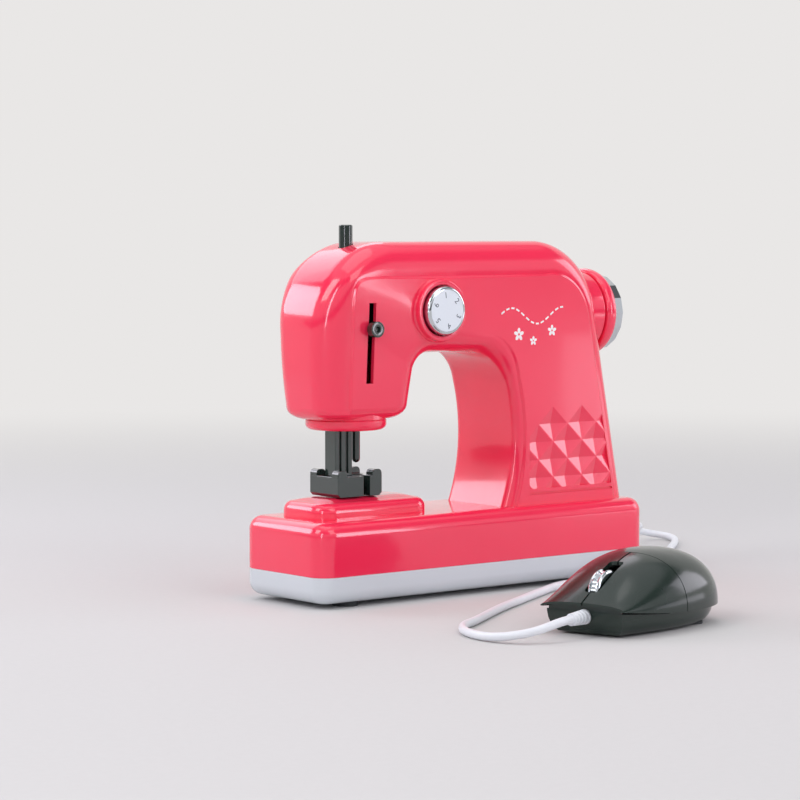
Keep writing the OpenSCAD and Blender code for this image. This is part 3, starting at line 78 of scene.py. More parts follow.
class ToySizes(bpy.types.PropertyGroup):
    corner_steps: bpy.props.IntProperty(
        name="Corner steps", description="Facets over a quarter turn of a corner",
        default=14, min=4, max=32)
    seam: bpy.props.FloatProperty(
        name="Seam", description="Chamfer of a mould seam, in millimetres",
        default=0.35, min=0.0, max=1.0)
    edge: bpy.props.FloatProperty(
        name="Edge", description="Radius on the edges of small dark pieces, in millimetres",
        default=0.45, min=0.1, max=1.0)
    cord_d: bpy.props.FloatProperty(
        name="Cord diameter", description="Diameter of the cord's jacket, in millimetres",
        default=4.0, min=3.0, max=5.0)


class ToyColours(bpy.types.PropertyGroup):
    housing: bpy.props.StringProperty(name="Housing", description="sRGB hex of the housing", default="FA3156")
    tray: bpy.props.StringProperty(name="Tray", description="sRGB hex of the tray", default="D3D9DF")
    works: bpy.props.StringProperty(name="Works", description="sRGB hex of the works", default="20302B")
    pedal: bpy.props.StringProperty(name="Pedal", description="sRGB hex of the pedal", default="22302A")
    floor: bpy.props.StringProperty(name="Floor", description="sRGB hex of the floor", default="CFCECD")


def sizes():
    return bpy.context.scene.toy_sizes


def colours():
    return bpy.context.scene.toy_colours


# Mesh helpers

UP, TO_RIGHT, TO_FRONT, TO_REAR = (0, 0, 1), (1, 0, 0), (0, -1, 0), (0, 1, 0)
# Edges that bend by more than these degrees stay sharp: on most pieces, the shells, the pits and the pedal
SHARP, SHELL_SHARP, PIT_SHARP, PEDAL_SHARP = 32.0, 28.0, 9.0, 40.0


def mix(a, b, t):
    return a + (b - a) * t


def smooth(t):
    t = min(max(t, 0.0), 1.0)
    return t * t * (3 - 2 * t)


def quarter_turn(steps, first=0):
    """Angles in even steps over a quarter turn."""
    return [math.pi / 2 * k / steps for k in range(first, steps + 1)]


def machine(x, y, z):
    """A place in the machine's millimetres as metres of the frame."""
    return Vector((x, y + MID_Y, z)) * MM


def add_object(name, data):
    obj = bpy.data.objects.new(name, data)
    bpy.context.scene.collection.objects.link(obj)
    return obj


def drop(obj):
    """Removes an object that was only needed to shape another."""
    mesh = obj.data
    bpy.data.objects.remove(obj)
    bpy.data.meshes.remove(mesh)


def shade(obj, sharp=SHARP):
    obj.data.shade_smooth()
    obj.data.set_sharp_from_angle(angle=math.radians(sharp))
    return obj


def mesh_object(name, verts, faces, sharp=SHARP):
    """A mesh from places in metres, with doubles joined and the faces turned outward."""
    mesh = bpy.data.meshes.new(name)
    mesh.from_pydata([tuple(v) for v in verts], [], faces)
    bm = bmesh.new()
    bm.from_mesh(mesh)
    bmesh.ops.remove_doubles(bm, verts=bm.verts, dist=1e-7)
    bmesh.ops.recalc_face_normals(bm, faces=bm.faces)
    bm.to_mesh(mesh)
    bm.free()
    return shade(add_object(name, mesh), sharp)


def skin(name, rings, sharp=SHARP, capped=True):
    """A skin over a chain of rings that each have the same count of points."""
    count, sides = len(rings), len(rings[0])
    faces = []
    for j in range(count - 1):
        for k in range(sides):
            a, b = j * sides + k, j * sides + (k + 1) % sides
            faces.append((a, b, b + sides, a + sides))
    if capped:
        faces.append(tuple(range(sides)))
        faces.append(tuple(range((count - 1) * sides, count * sides)))
    return mesh_object(name, [v for row in rings for v in row], faces, sharp)


def sheet(name, outer, inner, sharp=SHARP):
    """A sheet with thickness from the grids of its two faces."""
    rows, cols = len(outer), len(outer[0])
    n = rows * cols
    verts = [v for row in outer + inner for v in row]
    faces = []
    for j in range(rows - 1):
        for k in range(cols - 1):
            a = j * cols + k
            faces.append((a, a + 1, a + cols + 1, a + cols))
            faces.append((n + a, n + a + cols, n + a + cols + 1, n + a + 1))
    for k in range(cols - 1):
        for a in (k, (rows - 1) * cols + k):
            faces.append((a, a + 1, n + a + 1, n + a))
    for j in range(rows - 1):
        for a in (j * cols, j * cols + cols - 1):
            faces.append((a, a + cols, n + a + cols, n + a))
    return mesh_object(name, verts, faces, sharp)


def frame_of(direction, origin):
    """A matrix whose Z runs along a direction, at an origin in metres."""
    z = Vector(direction).normalized()
    helper = Vector((0, 0, 1)) if abs(z.z) < 0.9 else Vector((0, 1, 0))
    x = helper.cross(z).normalized()
    y = z.cross(x)
    m = Matrix((x, y, z)).transposed().to_4x4()
    m.translation = Vector(origin)
    return m


def axis_at(direction, x, y, z):
    """A matrix whose Z runs along a direction, at a place in the machine's millimetres."""
    return frame_of(direction, machine(x, y, z))


def turned(at, radius, angle, height):
    """A place about the Z of a matrix; radius and height are in millimetres."""
    return at @ (Vector((radius * math.cos(angle), radius * math.sin(angle), height)) * MM)


def lathe(name, profile, at, steps):
    """Turns a profile of (radius, height) in millimetres about the Z of a matrix."""
    rings = [[turned(at, r, 2 * math.pi * k / steps, h) for k in range(steps)] for r, h in profile]
    return skin(name, rings, capped=profile[0][0] > 0 and profile[0] != profile[-1])


def cylinder(name, r, at, low, high, steps=64):
    return lathe(name, [(r, low), (r, high)], at, steps)


def rounded(points, radius, steps=5):
    """A profile of (radius, height) with its corners rounded, apart from the two ends."""
    # The most of a side that one corner may take
    most = 0.45
    out = [points[0]]
    for p, q, s in zip(points, points[1:], points[2:]):
        p, q, s = Vector(p), Vector(q), Vector(s)
        a, b = p - q, s - q
        r = min(radius, a.length * most, b.length * most)
        start, end = q + a.normalized() * r, q + b.normalized() * r
        for k in range(steps + 1):
            t = k / steps
            out.append(tuple((1 - t) ** 2 * start + 2 * t * (1 - t) * q + t * t * end))
    out.append(points[-1])
    return out


def prism(name, outline, low, high, at):
    """An outline of (x, y) in millimetres between two heights along the Z of a matrix."""
    return skin(name, [[at @ (Vector((x, y, h)) * MM) for x, y in outline] for h in (low, high)])


def block(name, x0, x1, y0, y1, z0, z1):
    """A plain block between places in the machine's millimetres."""
    outline = [(x0, y0), (x1, y0), (x1, y1), (x0, y1)]
    return prism(name, outline, z0, z1, Matrix.Translation(machine(0, 0, 0)))


def slab(name, outline, front, back):
    """An outline of (x, z) in the machine's millimetres between two depths."""
    return skin(name, [[machine(x, y, z) for x, z in outline] for y in (front, back)])


def join(name, objs):
    """Joins meshes into one object."""
    bm = bmesh.new()
    for obj in objs:
        bm.from_mesh(obj.data)
        drop(obj)
    mesh = bpy.data.meshes.new(name)
    bm.to_mesh(mesh)
    bm.free()
    return add_object(name, mesh)


def combine(obj, others, how="DIFFERENCE", sharp=SHARP):
    """Cuts or joins solids with the exact solver and keeps the result as the object's own mesh."""
    for other in others:
        mod = obj.modifiers.new("shape", "BOOLEAN")
        mod.operation = how
        mod.solver = "EXACT"
        mod.object = other
    done = bpy.data.meshes.new_from_object(obj.evaluated_get(bpy.context.evaluated_depsgraph_get()))
    obj.modifiers.clear()
    old = obj.data
    done.name = old.name
    obj.data = done
    bpy.data.meshes.remove(old)
    for other in others:
        drop(other)
    return shade(obj, sharp)


def round_edges(obj):
    """Small radius on a moulded piece's edges, kept as a modifier."""
    mod = obj.modifiers.new("edge radius", "BEVEL")
    mod.width = sizes().edge * MM
    mod.segments = 3
    mod.limit_method = "ANGLE"
    mod.angle_limit = math.radians(40)
    mod.harden_normals = True
    mod.use_clamp_overlap = True


def fit(obj, body, slot, *nodes, material=None):
    """Puts a piece on its body, hides the CAD nodes that it stands in for, and gives it its own material or
    its slot's.
    """
    obj.data.materials.clear()
    obj.data.materials.append(material or slot_material(slot))
    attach(obj, body)
    if nodes:
        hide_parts(*nodes)


# Materials

# Sockets of a colour mix node: its two colours and its result
MIX_A, MIX_B, MIX_OUT = 6, 7, 2


def linear(hex_code):
    """sRGB hex as a linear colour with alpha."""
    parts = [int(hex_code[k : k + 2], 16) / 255 for k in (0, 2, 4)]
    return tuple(c / 12.92 if c <= 0.04045 else ((c + 0.055) / 1.055) ** 2.4 for c in parts) + (1.0,)


def feed(tree, target, inputs):
    """Sets a node's inputs; each may be a value or another node's socket."""
    for key, value in inputs.items():
        if isinstance(value, bpy.types.NodeSocket):
            tree.links.new(value, target.inputs[key])
        else:
            target.inputs[key].default_value = value


def node(tree, kind, inputs=None, **settings):
    """Adds a node with its settings and inputs."""
    new = tree.nodes.new(kind)
    for key, value in settings.items():
        setattr(new, key, value)
    feed(tree, new, inputs or {})
    return new


def noise(tree, place, size, detail, roughness=0.5):
    """Noise in the piece's own space, with features of a size in millimetres."""
    scale = 1.0 / (size * MM)
    inputs = {"Vector": place.outputs["Object"], "Scale": scale, "Detail": detail, "Roughness": roughness}
    return node(tree, "ShaderNodeTexNoise", inputs).outputs["Fac"]


def spread(tree, value, low, high, start=0.3, end=0.7):
    """Goes from low to high while a noise goes from start to end."""
    inputs = {"Value": value, "From Min": start, "From Max": end, "To Min": low, "To Max": high}
    return node(tree, "ShaderNodeMapRange", inputs).outputs["Result"]


def two_tone(tree, share, hex_code, tint):
    """Mixes a colour with its tint."""
    inputs = {"Factor": share, MIX_A: linear(hex_code), MIX_B: linear(tint)}
    return node(tree, "ShaderNodeMix", inputs, data_type="RGBA").outputs[MIX_OUT]


def ripple(tree, height, strength, depth, under=None):
    """Bump from a height, with a depth in millimetres, on top of another bump."""
    inputs = {"Height": height, "Strength": strength, "Distance": depth * MM}
    if under:
        inputs["Normal"] = under
    return node(tree, "ShaderNodeBump", inputs).outputs["Normal"]


def new_material(name):
    """A material by its name, with its tree and shader if it is new."""
    old = bpy.data.materials.get(name)
    if old:
        return old, None, None
    material = bpy.data.materials.new(name)
    material.use_nodes = True
    return material, material.node_tree, material.node_tree.nodes["Principled BSDF"]


def moulded_abs(name, hex_code, tint, rough, peel=0.06, grit=0.0, coat=0.0, gleam=0.5):
    """Injection-moulded ABS: one dyed colour, high gloss, a faintly wavy skin and a little flow shading."""
    material, tree, shader = new_material(name)
    if tree is None:
        return material
    place = node(tree, "ShaderNodeTexCoord")
    # Flow marks of the melt, about 35 mm long
    flow = noise(tree, place, 35, 3.0)
    # Rubbed gloss in patches of about 12 mm
    rub = noise(tree, place, 12, 4.0, 0.6)
    # Skin waviness of about 6 mm, and a fine grit where the mould is matt
    bump = ripple(tree, noise(tree, place, 6, 1.0), peel, 0.4)
    if grit:
        bump = ripple(tree, noise(tree, place, 0.8, 2.0), grit, 0.1, bump)
    feed(tree, shader, {
        "Base Color": two_tone(tree, flow, hex_code, tint),
        "Roughness": spread(tree, rub, rough * 0.8, rough * 1.25),
        "Normal": bump,
        "IOR": 1.53,
        "Specular IOR Level": gleam,
        "Coat Weight": coat,
        "Coat Roughness": 0.05,
    })
    return material


def housing_abs():
    """Dyed pink ABS from a polished mould."""
    return moulded_abs("abs_pink_polished", colours().housing, "F62B51", 0.15, coat=0.6)


def tray_abs():
    """Pale grey ABS from a polished mould."""
    return moulded_abs("abs_pale_grey", colours().tray, "CFD6DC", 0.2, peel=0.02, coat=0.4)


def works_abs():
    """Dark grey-green ABS of the bars and the foot."""
    return moulded_abs("abs_dark_works", colours().works, "1B2925", 0.16, grit=0.02, coat=0.9)


def pedal_abs():
    """Green-black ABS of the pedal, polished."""
    return moulded_abs("abs_pedal", colours().pedal, "1D2924", 0.18, coat=0.15, gleam=0.38)


def plated_abs():
    """Chrome plate on ABS: a mirror with faint polishing marks."""
    material, tree, shader = new_material("chrome_plate")
    if tree is None:
        return material
    # Polishing haze in patches of about 2.5 mm
    haze = noise(tree, node(tree, "ShaderNodeTexCoord"), 2.5, 4.0)
    feed(tree, shader, {
        "Base Color": linear("CDD2D6"), "Metallic": 1.0, "Roughness": spread(tree, haze, 0.05, 0.11),
    })
    return material


def plain_finish(name, hex_code, tint, rough, metal=0.0, grain=1.2, strength=0.12):
    """Inner and lower pieces, inks and paper: a fine grain, in millimetres, in colour, gloss and skin."""
    material, tree, shader = new_material(name)
    if tree is None:
        return material
    spot = noise(tree, node(tree, "ShaderNodeTexCoord"), grain, 3.0)
    feed(tree, shader, {
        "Base Color": two_tone(tree, spot, hex_code, tint),
        "Roughness": spread(tree, spot, rough * 0.85, min(rough * 1.15, 1.0), 0.0, 1.0),
        "Normal": ripple(tree, spot, strength, 0.1),
        "Metallic": metal,
    })
    return material


def cord_pvc():
    """White PVC jacket: satin, with a slightly uneven skin."""
    return plain_finish("pvc_white_jacket", "E9ECF1", "E1E5EB", 0.38, grain=3.0, strength=0.08)


def dial_print():
    """Pale satin disc that is stuck into the dial."""
    return plain_finish("dial_disc", "E6ECF3", "DFE6EE", 0.4, grain=0.8, strength=0.05)


def mark_ink():
    """Grey ink of the dial's numbers."""
    return plain_finish("grey_ink", "565F6B", "4C5561", 0.5, grain=0.5, strength=0.05)


def white_ink():
    """White pad print on the housing."""
    return plain_finish("white_ink", "FBF6F7", "F6EEF0", 0.45, grain=0.5, strength=0.05)


def slot_material(slot):
    """The finish of each slot in the record."""
    made = {
        "pink_plastic": housing_abs,
        "pale_plastic": tray_abs,
        "dark_plastic": works_abs,
        "pedal_plastic": pedal_abs,
        "bright_plating": plated_abs,
        "dial_print": dial_print,
        "cord_jacket": cord_pvc,
    }
    if slot in made:
        return made[slot]()
    # Name, colour, tint, roughness and share of metal
    plain = {
        "gear_plastic": ("acetal_natural", "E6E5DF", "DEDDD6", 0.45, 0.0),
        "steel": ("steel_plain", "B4B7BB", "A6AAAF", 0.34, 1.0),
        "frame_plastic": ("abs_grey_frame", "A9ADB1", "A0A4A8", 0.5, 0.0),
        "board": ("board_laminate", "2C6A45", "27603E", 0.4, 0.0),
        "black_plastic": ("abs_black", "26292C", "202325", 0.5, 0.0),
        "foot_rubber": ("rubber_pad", "3A3E40", "333739", 0.8, 0.0),
    }
    return plain_finish(*plain[slot])


# Arm, in millimetres and with the outlines of the CAD source

ARM_H, ARM_D, WALL = 179.5, 52.0, 2.2
BASE_H = 42.5
HEAD_LEFT, HEAD_RIGHT, HEAD_Z = -99.5, -39.0, 91.0
HEAD_CORNER, HEAD_SIDE_R, HEAD_EDGE, HEAD_TAPER = 43.0, 190.0, 7.5, 4.0
# Heights below which the head's left side curves in and its depth tapers
BELLY_Z, TAPER_Z = ARM_H - HEAD_CORNER - 8, ARM_H - 18
ARCH_Z, ARCH_CORNER, ARCH_BACK = 123.5, 10.0, 24.0
COLUMN_LEFT, COLUMN_FOOT, COLUMN_CURVE, COLUMN_WAIST = 23.5, 103.9, 100.0, BASE_H + 36.5
SHOULDER_R, HEAD_LEAN, LEAN = 40.0, math.radians(8), math.radians(11)
TOP_BAND, HEAD_BAND, COLUMN_BAND, CORNER_POWER = 17.0, 15.2, 10.5, 6.5
ROUND_D, ARCH_ROUND, COLUMN_ROUND = 13.0, 12.0, 5.0
# The panel's sunk step fades out over the last of these at the head's lower edge
STEP, BEVEL, STEP_FADE = 1.2, 1.6, 1.2
SHAFT_Z = 141.0
NEEDLE_X, ROD_X = -69.0, -62.6


def arc(cx, cz, r, a0, a1, steps):
    angles = [math.radians(mix(a0, a1, k / steps)) for k in range(steps + 1)]
    return [(cx + r * math.cos(a), cz + r * math.sin(a)) for a in angles]


def straight(p, q, steps):
    return [(mix(p[0], q[0], k / steps), mix(p[1], q[1], k / steps)) for k in range(steps + 1)]


def arm_stations():
    """Places on both outlines and on the panel's edge, with the head's taper and the column's share."""
    # Steps along each stretch of the outlines
    side, bend, top, shoulder, column = 10, 24, 8, 22, 16
    low = HEAD_Z + HEAD_EDGE

    def side_x(z):
        below = max(BELLY_Z - z, 0)
        return HEAD_LEFT + (HEAD_SIDE_R - math.sqrt(HEAD_SIDE_R**2 - below**2))

    zc = ARM_H - SHOULDER_R
    foot_run = zc + SHOULDER_R * math.sin(LEAN) - BASE_H
    sx = COLUMN_FOOT - foot_run * math.tan(LEAN) - SHOULDER_R * math.cos(LEAN)
    outer = [(side_x(z), z) for z in (mix(low, ARM_H - HEAD_CORNER, k / side) for k in range(side + 1))]
    outer += arc(HEAD_LEFT + HEAD_CORNER, ARM_H - HEAD_CORNER, HEAD_CORNER, 180, 90, bend)[1:]
    outer += straight((HEAD_LEFT + HEAD_CORNER, ARM_H), (sx, ARM_H), top)[1:]
    outer += arc(sx, zc, SHOULDER_R, 90, math.degrees(LEAN), shoulder)[1:]
    outer += straight(outer[-1], (COLUMN_FOOT, BASE_H), column)[1:]

    ccx, ccz = HEAD_RIGHT + ARCH_CORNER * math.cos(HEAD_LEAN), ARCH_Z - ARCH_CORNER
    start_z = ccz + ARCH_CORNER * math.sin(HEAD_LEAN)
    dz = ARCH_Z - ARCH_BACK - COLUMN_WAIST
    dx = math.sqrt((COLUMN_CURVE - ARCH_BACK) ** 2 - dz * dz)
    acx = COLUMN_LEFT - COLUMN_CURVE + dx
    end = math.degrees(math.atan2(dz, dx))
    foot = math.degrees(math.asin((BASE_H - COLUMN_WAIST) / COLUMN_CURVE))
    inner = straight((HEAD_RIGHT - (start_z - low) * math.tan(HEAD_LEAN), low), (HEAD_RIGHT, start_z), side)
    inner += arc(ccx, ccz, ARCH_CORNER, 180 - math.degrees(HEAD_LEAN), 90, bend)[1:]
    inner += straight((ccx, ARCH_Z), (acx, ARCH_Z), top)[1:]
    inner += arc(acx, ARCH_Z - ARCH_BACK, ARCH_BACK, 90, end, shoulder)[1:]
    inner += arc(COLUMN_LEFT - COLUMN_CURVE, COLUMN_WAIST, COLUMN_CURVE, end, foot, column)[1:]

    out = []
    corner, turn = Vector((HEAD_LEFT + HEAD_CORNER, ARM_H - HEAD_CORNER)), Vector((sx, zc))
    for j, (o, i) in enumerate(zip(outer, inner)):
        taper = 1 - min(max((j - side) / bend, 0), 1)
        share = min(max((j - side - bend - top) / shoulder, 0), 1)
        o, i = Vector(o), Vector(i)
        if j <= side:
            border = Vector((HEAD_LEFT + HEAD_BAND, o.y))
        elif j < side + bend:
            way = (o - corner).normalized()
            across = abs(way.x) / (HEAD_CORNER - HEAD_BAND)
            rise = abs(way.y) / (HEAD_CORNER - TOP_BAND)
            border = corner + way / (across**CORNER_POWER + rise**CORNER_POWER) ** (1 / CORNER_POWER)
        elif j <= side + bend + top:
            border = Vector((o.x, ARM_H - TOP_BAND))
        elif j <= side + bend + top + shoulder:
            border = o - mix(TOP_BAND, COLUMN_BAND, share) * (o - turn).normalized()
        else:
            border = Vector((o.x - COLUMN_BAND, o.y))
        out.append((o, i, border, taper, share))
    return out


def half_depth(z, taper):
    return ARM_D / 2 - taper * HEAD_TAPER * max(TAPER_Z - z, 0) / (TAPER_Z - HEAD_Z)


def arm_row(station, depth, drop_in, lower):
    """One row of places over the front half, as in the CAD source but finer."""
    o, i, border, taper, share = station
    inset = depth + drop_in
    way, back = (border - o).normalized(), (border - i).normalized()
    start, end = o + way * inset, i + back * inset
    width = (border - o).length - depth
    edge = mix(ARCH_ROUND, COLUMN_ROUND, share) - depth
    fade = max(0.0, 1 - drop_in / STEP_FADE)
    out_step, in_step = STEP * fade, STEP * share
    # Steps round each edge, over the panel's bevels and across the panel
    bend, ramp, across = 16, 5, 8
    places = []
    for a in quarter_turn(bend):
        below = out_step + (ROUND_D - depth) * (1 - math.sin(a))
        places.append((start + way * width * (1 - math.cos(a)), below))
    brink, rim = start + way * width, end + back * edge
    for k in range(1, ramp + 1):
        places.append((brink - back * BEVEL * k / ramp, out_step * (1 - smooth(k / ramp))))
    first, last = brink - back * BEVEL, rim + back * BEVEL
    for k in range(1, across):
        places.append((mix(first, last, k / across), 0.0))
    for k in range(ramp):
        places.append((mix(last, rim, k / ramp), in_step * smooth(k / ramp)))
    for a in reversed(quarter_turn(bend)):
        places.append((end + back * edge * (1 - math.cos(a)), in_step + edge * (1 - math.sin(a))))
    row = [(start.x, 0.0, start.y - lower)]
    for q, below in places:
        row.append((q.x, below + inset - half_depth(q.y, taper), q.y - lower))
    row.append((end.x, 0.0, end.y - lower))
    return row


def arm_grid(depth):
    """Rows from the middle of the head's underside, round its edge and along the arm to the column's foot."""
    stations = arm_stations()
    r = HEAD_EDGE - depth
    rows = []
    for a in reversed(quarter_turn(8, 1)):
        rows.append(arm_row(stations[0], depth, r * (1 - math.cos(a)), r * math.sin(a)))
    first, last, count = rows[0][0], rows[0][-1], len(rows[0])
    shares = [(k + 1) / (count + 1) for k in range(count)]
    middle = [tuple(mix(p, q, t) for p, q in zip(first, last)) for t in shares]
    return [middle] + rows + [arm_row(s, depth, 0, 0) for s in stations]


def arm_half(name, side):
    """Front half for side -1 and rear half for side 1."""

    def put(grid):
        return [[machine(x, y if side < 0 else -y, z) for x, y, z in row] for row in grid]

    return sheet(name, put(arm_grid(0)), put(arm_grid(WALL)), SHELL_SHARP)


def shared_cuts():
    """The needle bar's hole, the collar's seat and the shaft collar's seat."""
    bar_low, bar_high = node_box("needle_bar")
    collar_low, collar_high = node_box("head_collar")
    boss_low, boss_high = node_box("shaft_collar")
    bar_r, collar_r = (bar_high.x - bar_low.x) / 2, (collar_high.x - collar_low.x) / 2
    boss_r = (boss_high.z - boss_low.z) / 2
    slack, inside_head, above_arm, below_head, past_column = 0.3, 148, 190, 80, 100
    needle_axis = axis_at(UP, NEEDLE_X, 0, 0)
    return [
        cylinder("bar_hole", bar_r + slack, needle_axis, inside_head, above_arm),
        cylinder("collar_seat", collar_r, needle_axis, below_head, collar_high.z),
        cylinder("boss_seat", boss_r, axis_at(TO_RIGHT, 0, 0, SHAFT_Z), boss_low.x, past_column),
    ]


PIT_W, PIT_H, PIT_DEPTH, PIT_RIDGE, PIT_FRONT = 20.4, 18.6, 2.2, 0.7, 0.05
PIT_FIRST = (COLUMN_LEFT + PIT_W / 2 + 4.1, BASE_H + 14)
PIT_LEFT, PIT_BASE, PIT_TOP = COLUMN_LEFT + COLUMN_ROUND + 2 * BEVEL, BASE_H + 8.5, PIT_FIRST[1] + PIT_H * 3
PIT_COLS, PIT_TOP_ROW = 4, 3


def column_side(z):
    return COLUMN_FOOT - (z - BASE_H) * math.tan(LEAN)


def field_outline(left, low, margin):
    """The field of the pits, with a margin to the column's leaning side."""
    right, top_right = column_side(PIT_BASE) - margin, column_side(PIT_TOP) - margin
    return [(left, low), (right, low), (top_right, PIT_TOP), (left, PIT_TOP)]


def pit_cutter():
    """Four-sided pits in staggered rows, clipped to the field on the column."""
    verts, faces = [], []
    grow = 1 + PIT_FRONT / PIT_DEPTH
    w, h = grow * (PIT_W - PIT_RIDGE) / 2, grow * (PIT_H - PIT_RIDGE) / 2
    front, back = -ARM_D / 2 - PIT_FRONT, -ARM_D / 2 + PIT_DEPTH
    for row in range(-1, PIT_TOP_ROW + 1):
        # The top row has no pit next to the arch
        for col in range(1 if row == PIT_TOP_ROW else 0, PIT_COLS):
            x = PIT_FIRST[0] + PIT_W * (col - (row % 2) / 2)
            z = PIT_FIRST[1] + row * PIT_H / 2
            n = len(verts)
            rim = [(x - w, z), (x, z - h), (x + w, z), (x, z + h)]
            verts += [machine(u, front, v) for u, v in rim] + [machine(x, back, z)]
            faces.append((n, n + 1, n + 2, n + 3))
            faces += [(n + k, n + 4, n + (k + 1) % 4) for k in range(4)]
    pits = mesh_object("pits", verts, faces)
    field = slab("pit_field", field_outline(PIT_LEFT, PIT_BASE, COLUMN_BAND + BEVEL), front - 1, back + 1)
    return combine(pits, [field], "INTERSECT")


def slot_cutter():
    """The lever's upright slot, from before the front to behind the wall."""
    x, half, low, high = -72.0, 2.2, 109.5, 149.5
    return slab("slot_cut", [(x - half, low), (x + half, low), (x + half, high), (x - half, high)], -40, -13)


def groove_cutter():
    """The fine groove across the column's foot, below the pits."""
    z, half, deep = BASE_H + 6, 0.6, 0.9
    right = column_side(z) - COLUMN_BAND - BEVEL
    outline = [(PIT_LEFT, z - half), (right, z - half), (right, z + half), (PIT_LEFT, z + half)]
    return slab("groove_cut", outline, -30, -ARM_D / 2 + deep)


DIAL = (-30.0, 145.0)
WELL_R, BEZEL_R, DISC_R, STEM_HOLE_R = 12.85, 15.5, 10.55, 3.05


class TOY_OT_front_shell(bpy.types.Operator):
    """Front half of the arm, with its slot, dial collar and diamond pits"""

    bl_idname = "toy.front_shell"
    bl_label = "Front shell"

    def execute(self, context):
        shell = arm_half("arm_front_moulding", -1)
        front = -ARM_D / 2
        # The wall behind the pits is thicker, so that they don't break through
        pad_start, pad_end, pad_low = 1.1, 4.0, PIT_BASE - 6
        pad_outline = field_outline(PIT_LEFT - BEVEL, pad_low, COLUMN_BAND)
        pad = slab("pit_pad", pad_outline, front + pad_start, front + pad_end)
        # The collar round the dial flares into the panel
        seat = axis_at(TO_FRONT, DIAL[0], front, DIAL[1])
        root, flare, brim, corner = -2.8, 0.9, 3.5, 0.9
        edge = [(WELL_R, root), (BEZEL_R + flare, root), (BEZEL_R + flare, -0.2)]
        edge += [(BEZEL_R, 0.6), (BEZEL_R, brim), (WELL_R, brim), (WELL_R, root)]
        collar = lathe("dial_collar", rounded(edge, corner) + edge[:1], seat, 96)
        combine(shell, [pad, collar], "UNION", SHELL_SHARP)
        through, well_floor, before = 6, -0.05, 8
        stem = cylinder("stem_hole", STEM_HOLE_R, seat, -through, through)
        well = cylinder("dial_well", WELL_R, seat, well_floor, before, 96)
        cuts = shared_cuts() + [pit_cutter(), slot_cutter(), groove_cutter(), stem, well]
        combine(shell, cuts, "DIFFERENCE", PIT_SHARP)
        fit(shell, "machine", "pink_plastic", "arm_front_shell")
        return {"FINISHED"}


class TOY_OT_rear_shell(bpy.types.Operator):
    """Rear half of the arm, with its screw holes"""

    bl_idname = "toy.rear_shell"
    bl_label = "Rear shell"

    def execute(self, context):
        shell = arm_half("arm_rear_moulding", 1)
        head_x, top_z, foot_z = HEAD_LEFT + 19, ARM_H - 16.5, BASE_H + 15
        posts = [
            (head_x, ARM_H - 28), (head_x, HEAD_Z + 25),
            ((HEAD_RIGHT + COLUMN_LEFT) / 2, top_z), (44.3, top_z),
            (COLUMN_LEFT + 14, foot_z), (COLUMN_FOOT - 20, foot_z),
        ]
        post_r, post_low, skin_left = 3.5, 8.0, 1.5
        hole_r, hole_low, hole_high = 2.8, 13.0, 30.0
        wells, cuts = [], []
        for k, (x, z) in enumerate(posts):
            at = axis_at(TO_REAR, x, 0, z)
            top = half_depth(z, 1 if x < HEAD_RIGHT else 0) - skin_left
            wells.append(cylinder(f"well_{k}", post_r, at, post_low, top, 40))
            cuts.append(cylinder(f"hole_{k}", hole_r, at, hole_low, hole_high, 40))
        combine(shell, wells, "UNION", SHELL_SHARP)
        combine(shell, shared_cuts() + cuts, "DIFFERENCE", SHELL_SHARP)
        fit(shell, "machine", "pink_plastic", "arm_rear_shell")
        return {"FINISHED"}


# Base

BASE_L, BASE_D, BASE_R, BASE_EDGE = 220.0, 66.0, 10.0, 7.0
TRAY_LOW, TRAY_TOP = 2.5, 16.0
GLAND_R, GLAND_Z = 5.5, 24.0


def ring(length, depth, radius, z, x=0.0):
    """A rectangle with round corners at a height."""
    steps = sizes().corner_steps
    out = []
    for c in range(4):
        sx = 1 if c in (0, 3) else -1
        sy = 1 if c < 2 else -1
        for k in range(steps + 1):
            a = math.pi / 2 * (c + k / steps)
            u = x + sx * (length / 2 - radius) + radius * math.cos(a)
            v = sy * (depth / 2 - radius) + radius * math.sin(a)
            out.append(machine(u, v, z))
    return out


def edge_rings(length, depth, radius, edge, z, way, x=0.0):
    """Rings round an edge that ends at a height, upwards for way 1 and downwards for way -1."""
    least = 0.6
    out = []
    for a in quarter_turn(10):
        inset = edge * (1 - math.cos(a))
        level = z - way * edge * (1 - math.sin(a))
        out.append(ring(length - 2 * inset, depth - 2 * inset, max(radius - inset, least), level, x))
    return out


def base_half(name, level, way):
    """Housing for way 1 and tray for way -1, from the inside over the rim to the outside."""
    s = sizes().seam
    inner = (BASE_L - 2 * WALL, BASE_D - 2 * WALL, BASE_R - WALL)
    outer = (BASE_L, BASE_D, BASE_R)
    inside = edge_rings(*inner, BASE_EDGE - WALL, level - way * WALL, way)
    chamfer = ring(BASE_L - 2 * s, BASE_D - 2 * s, BASE_R - s, TRAY_TOP)
    rims = [ring(*inner, TRAY_TOP), chamfer, ring(*outer, TRAY_TOP + way * s)]
    return skin(name, inside[::-1] + rims + edge_rings(*outer, BASE_EDGE, level, way))


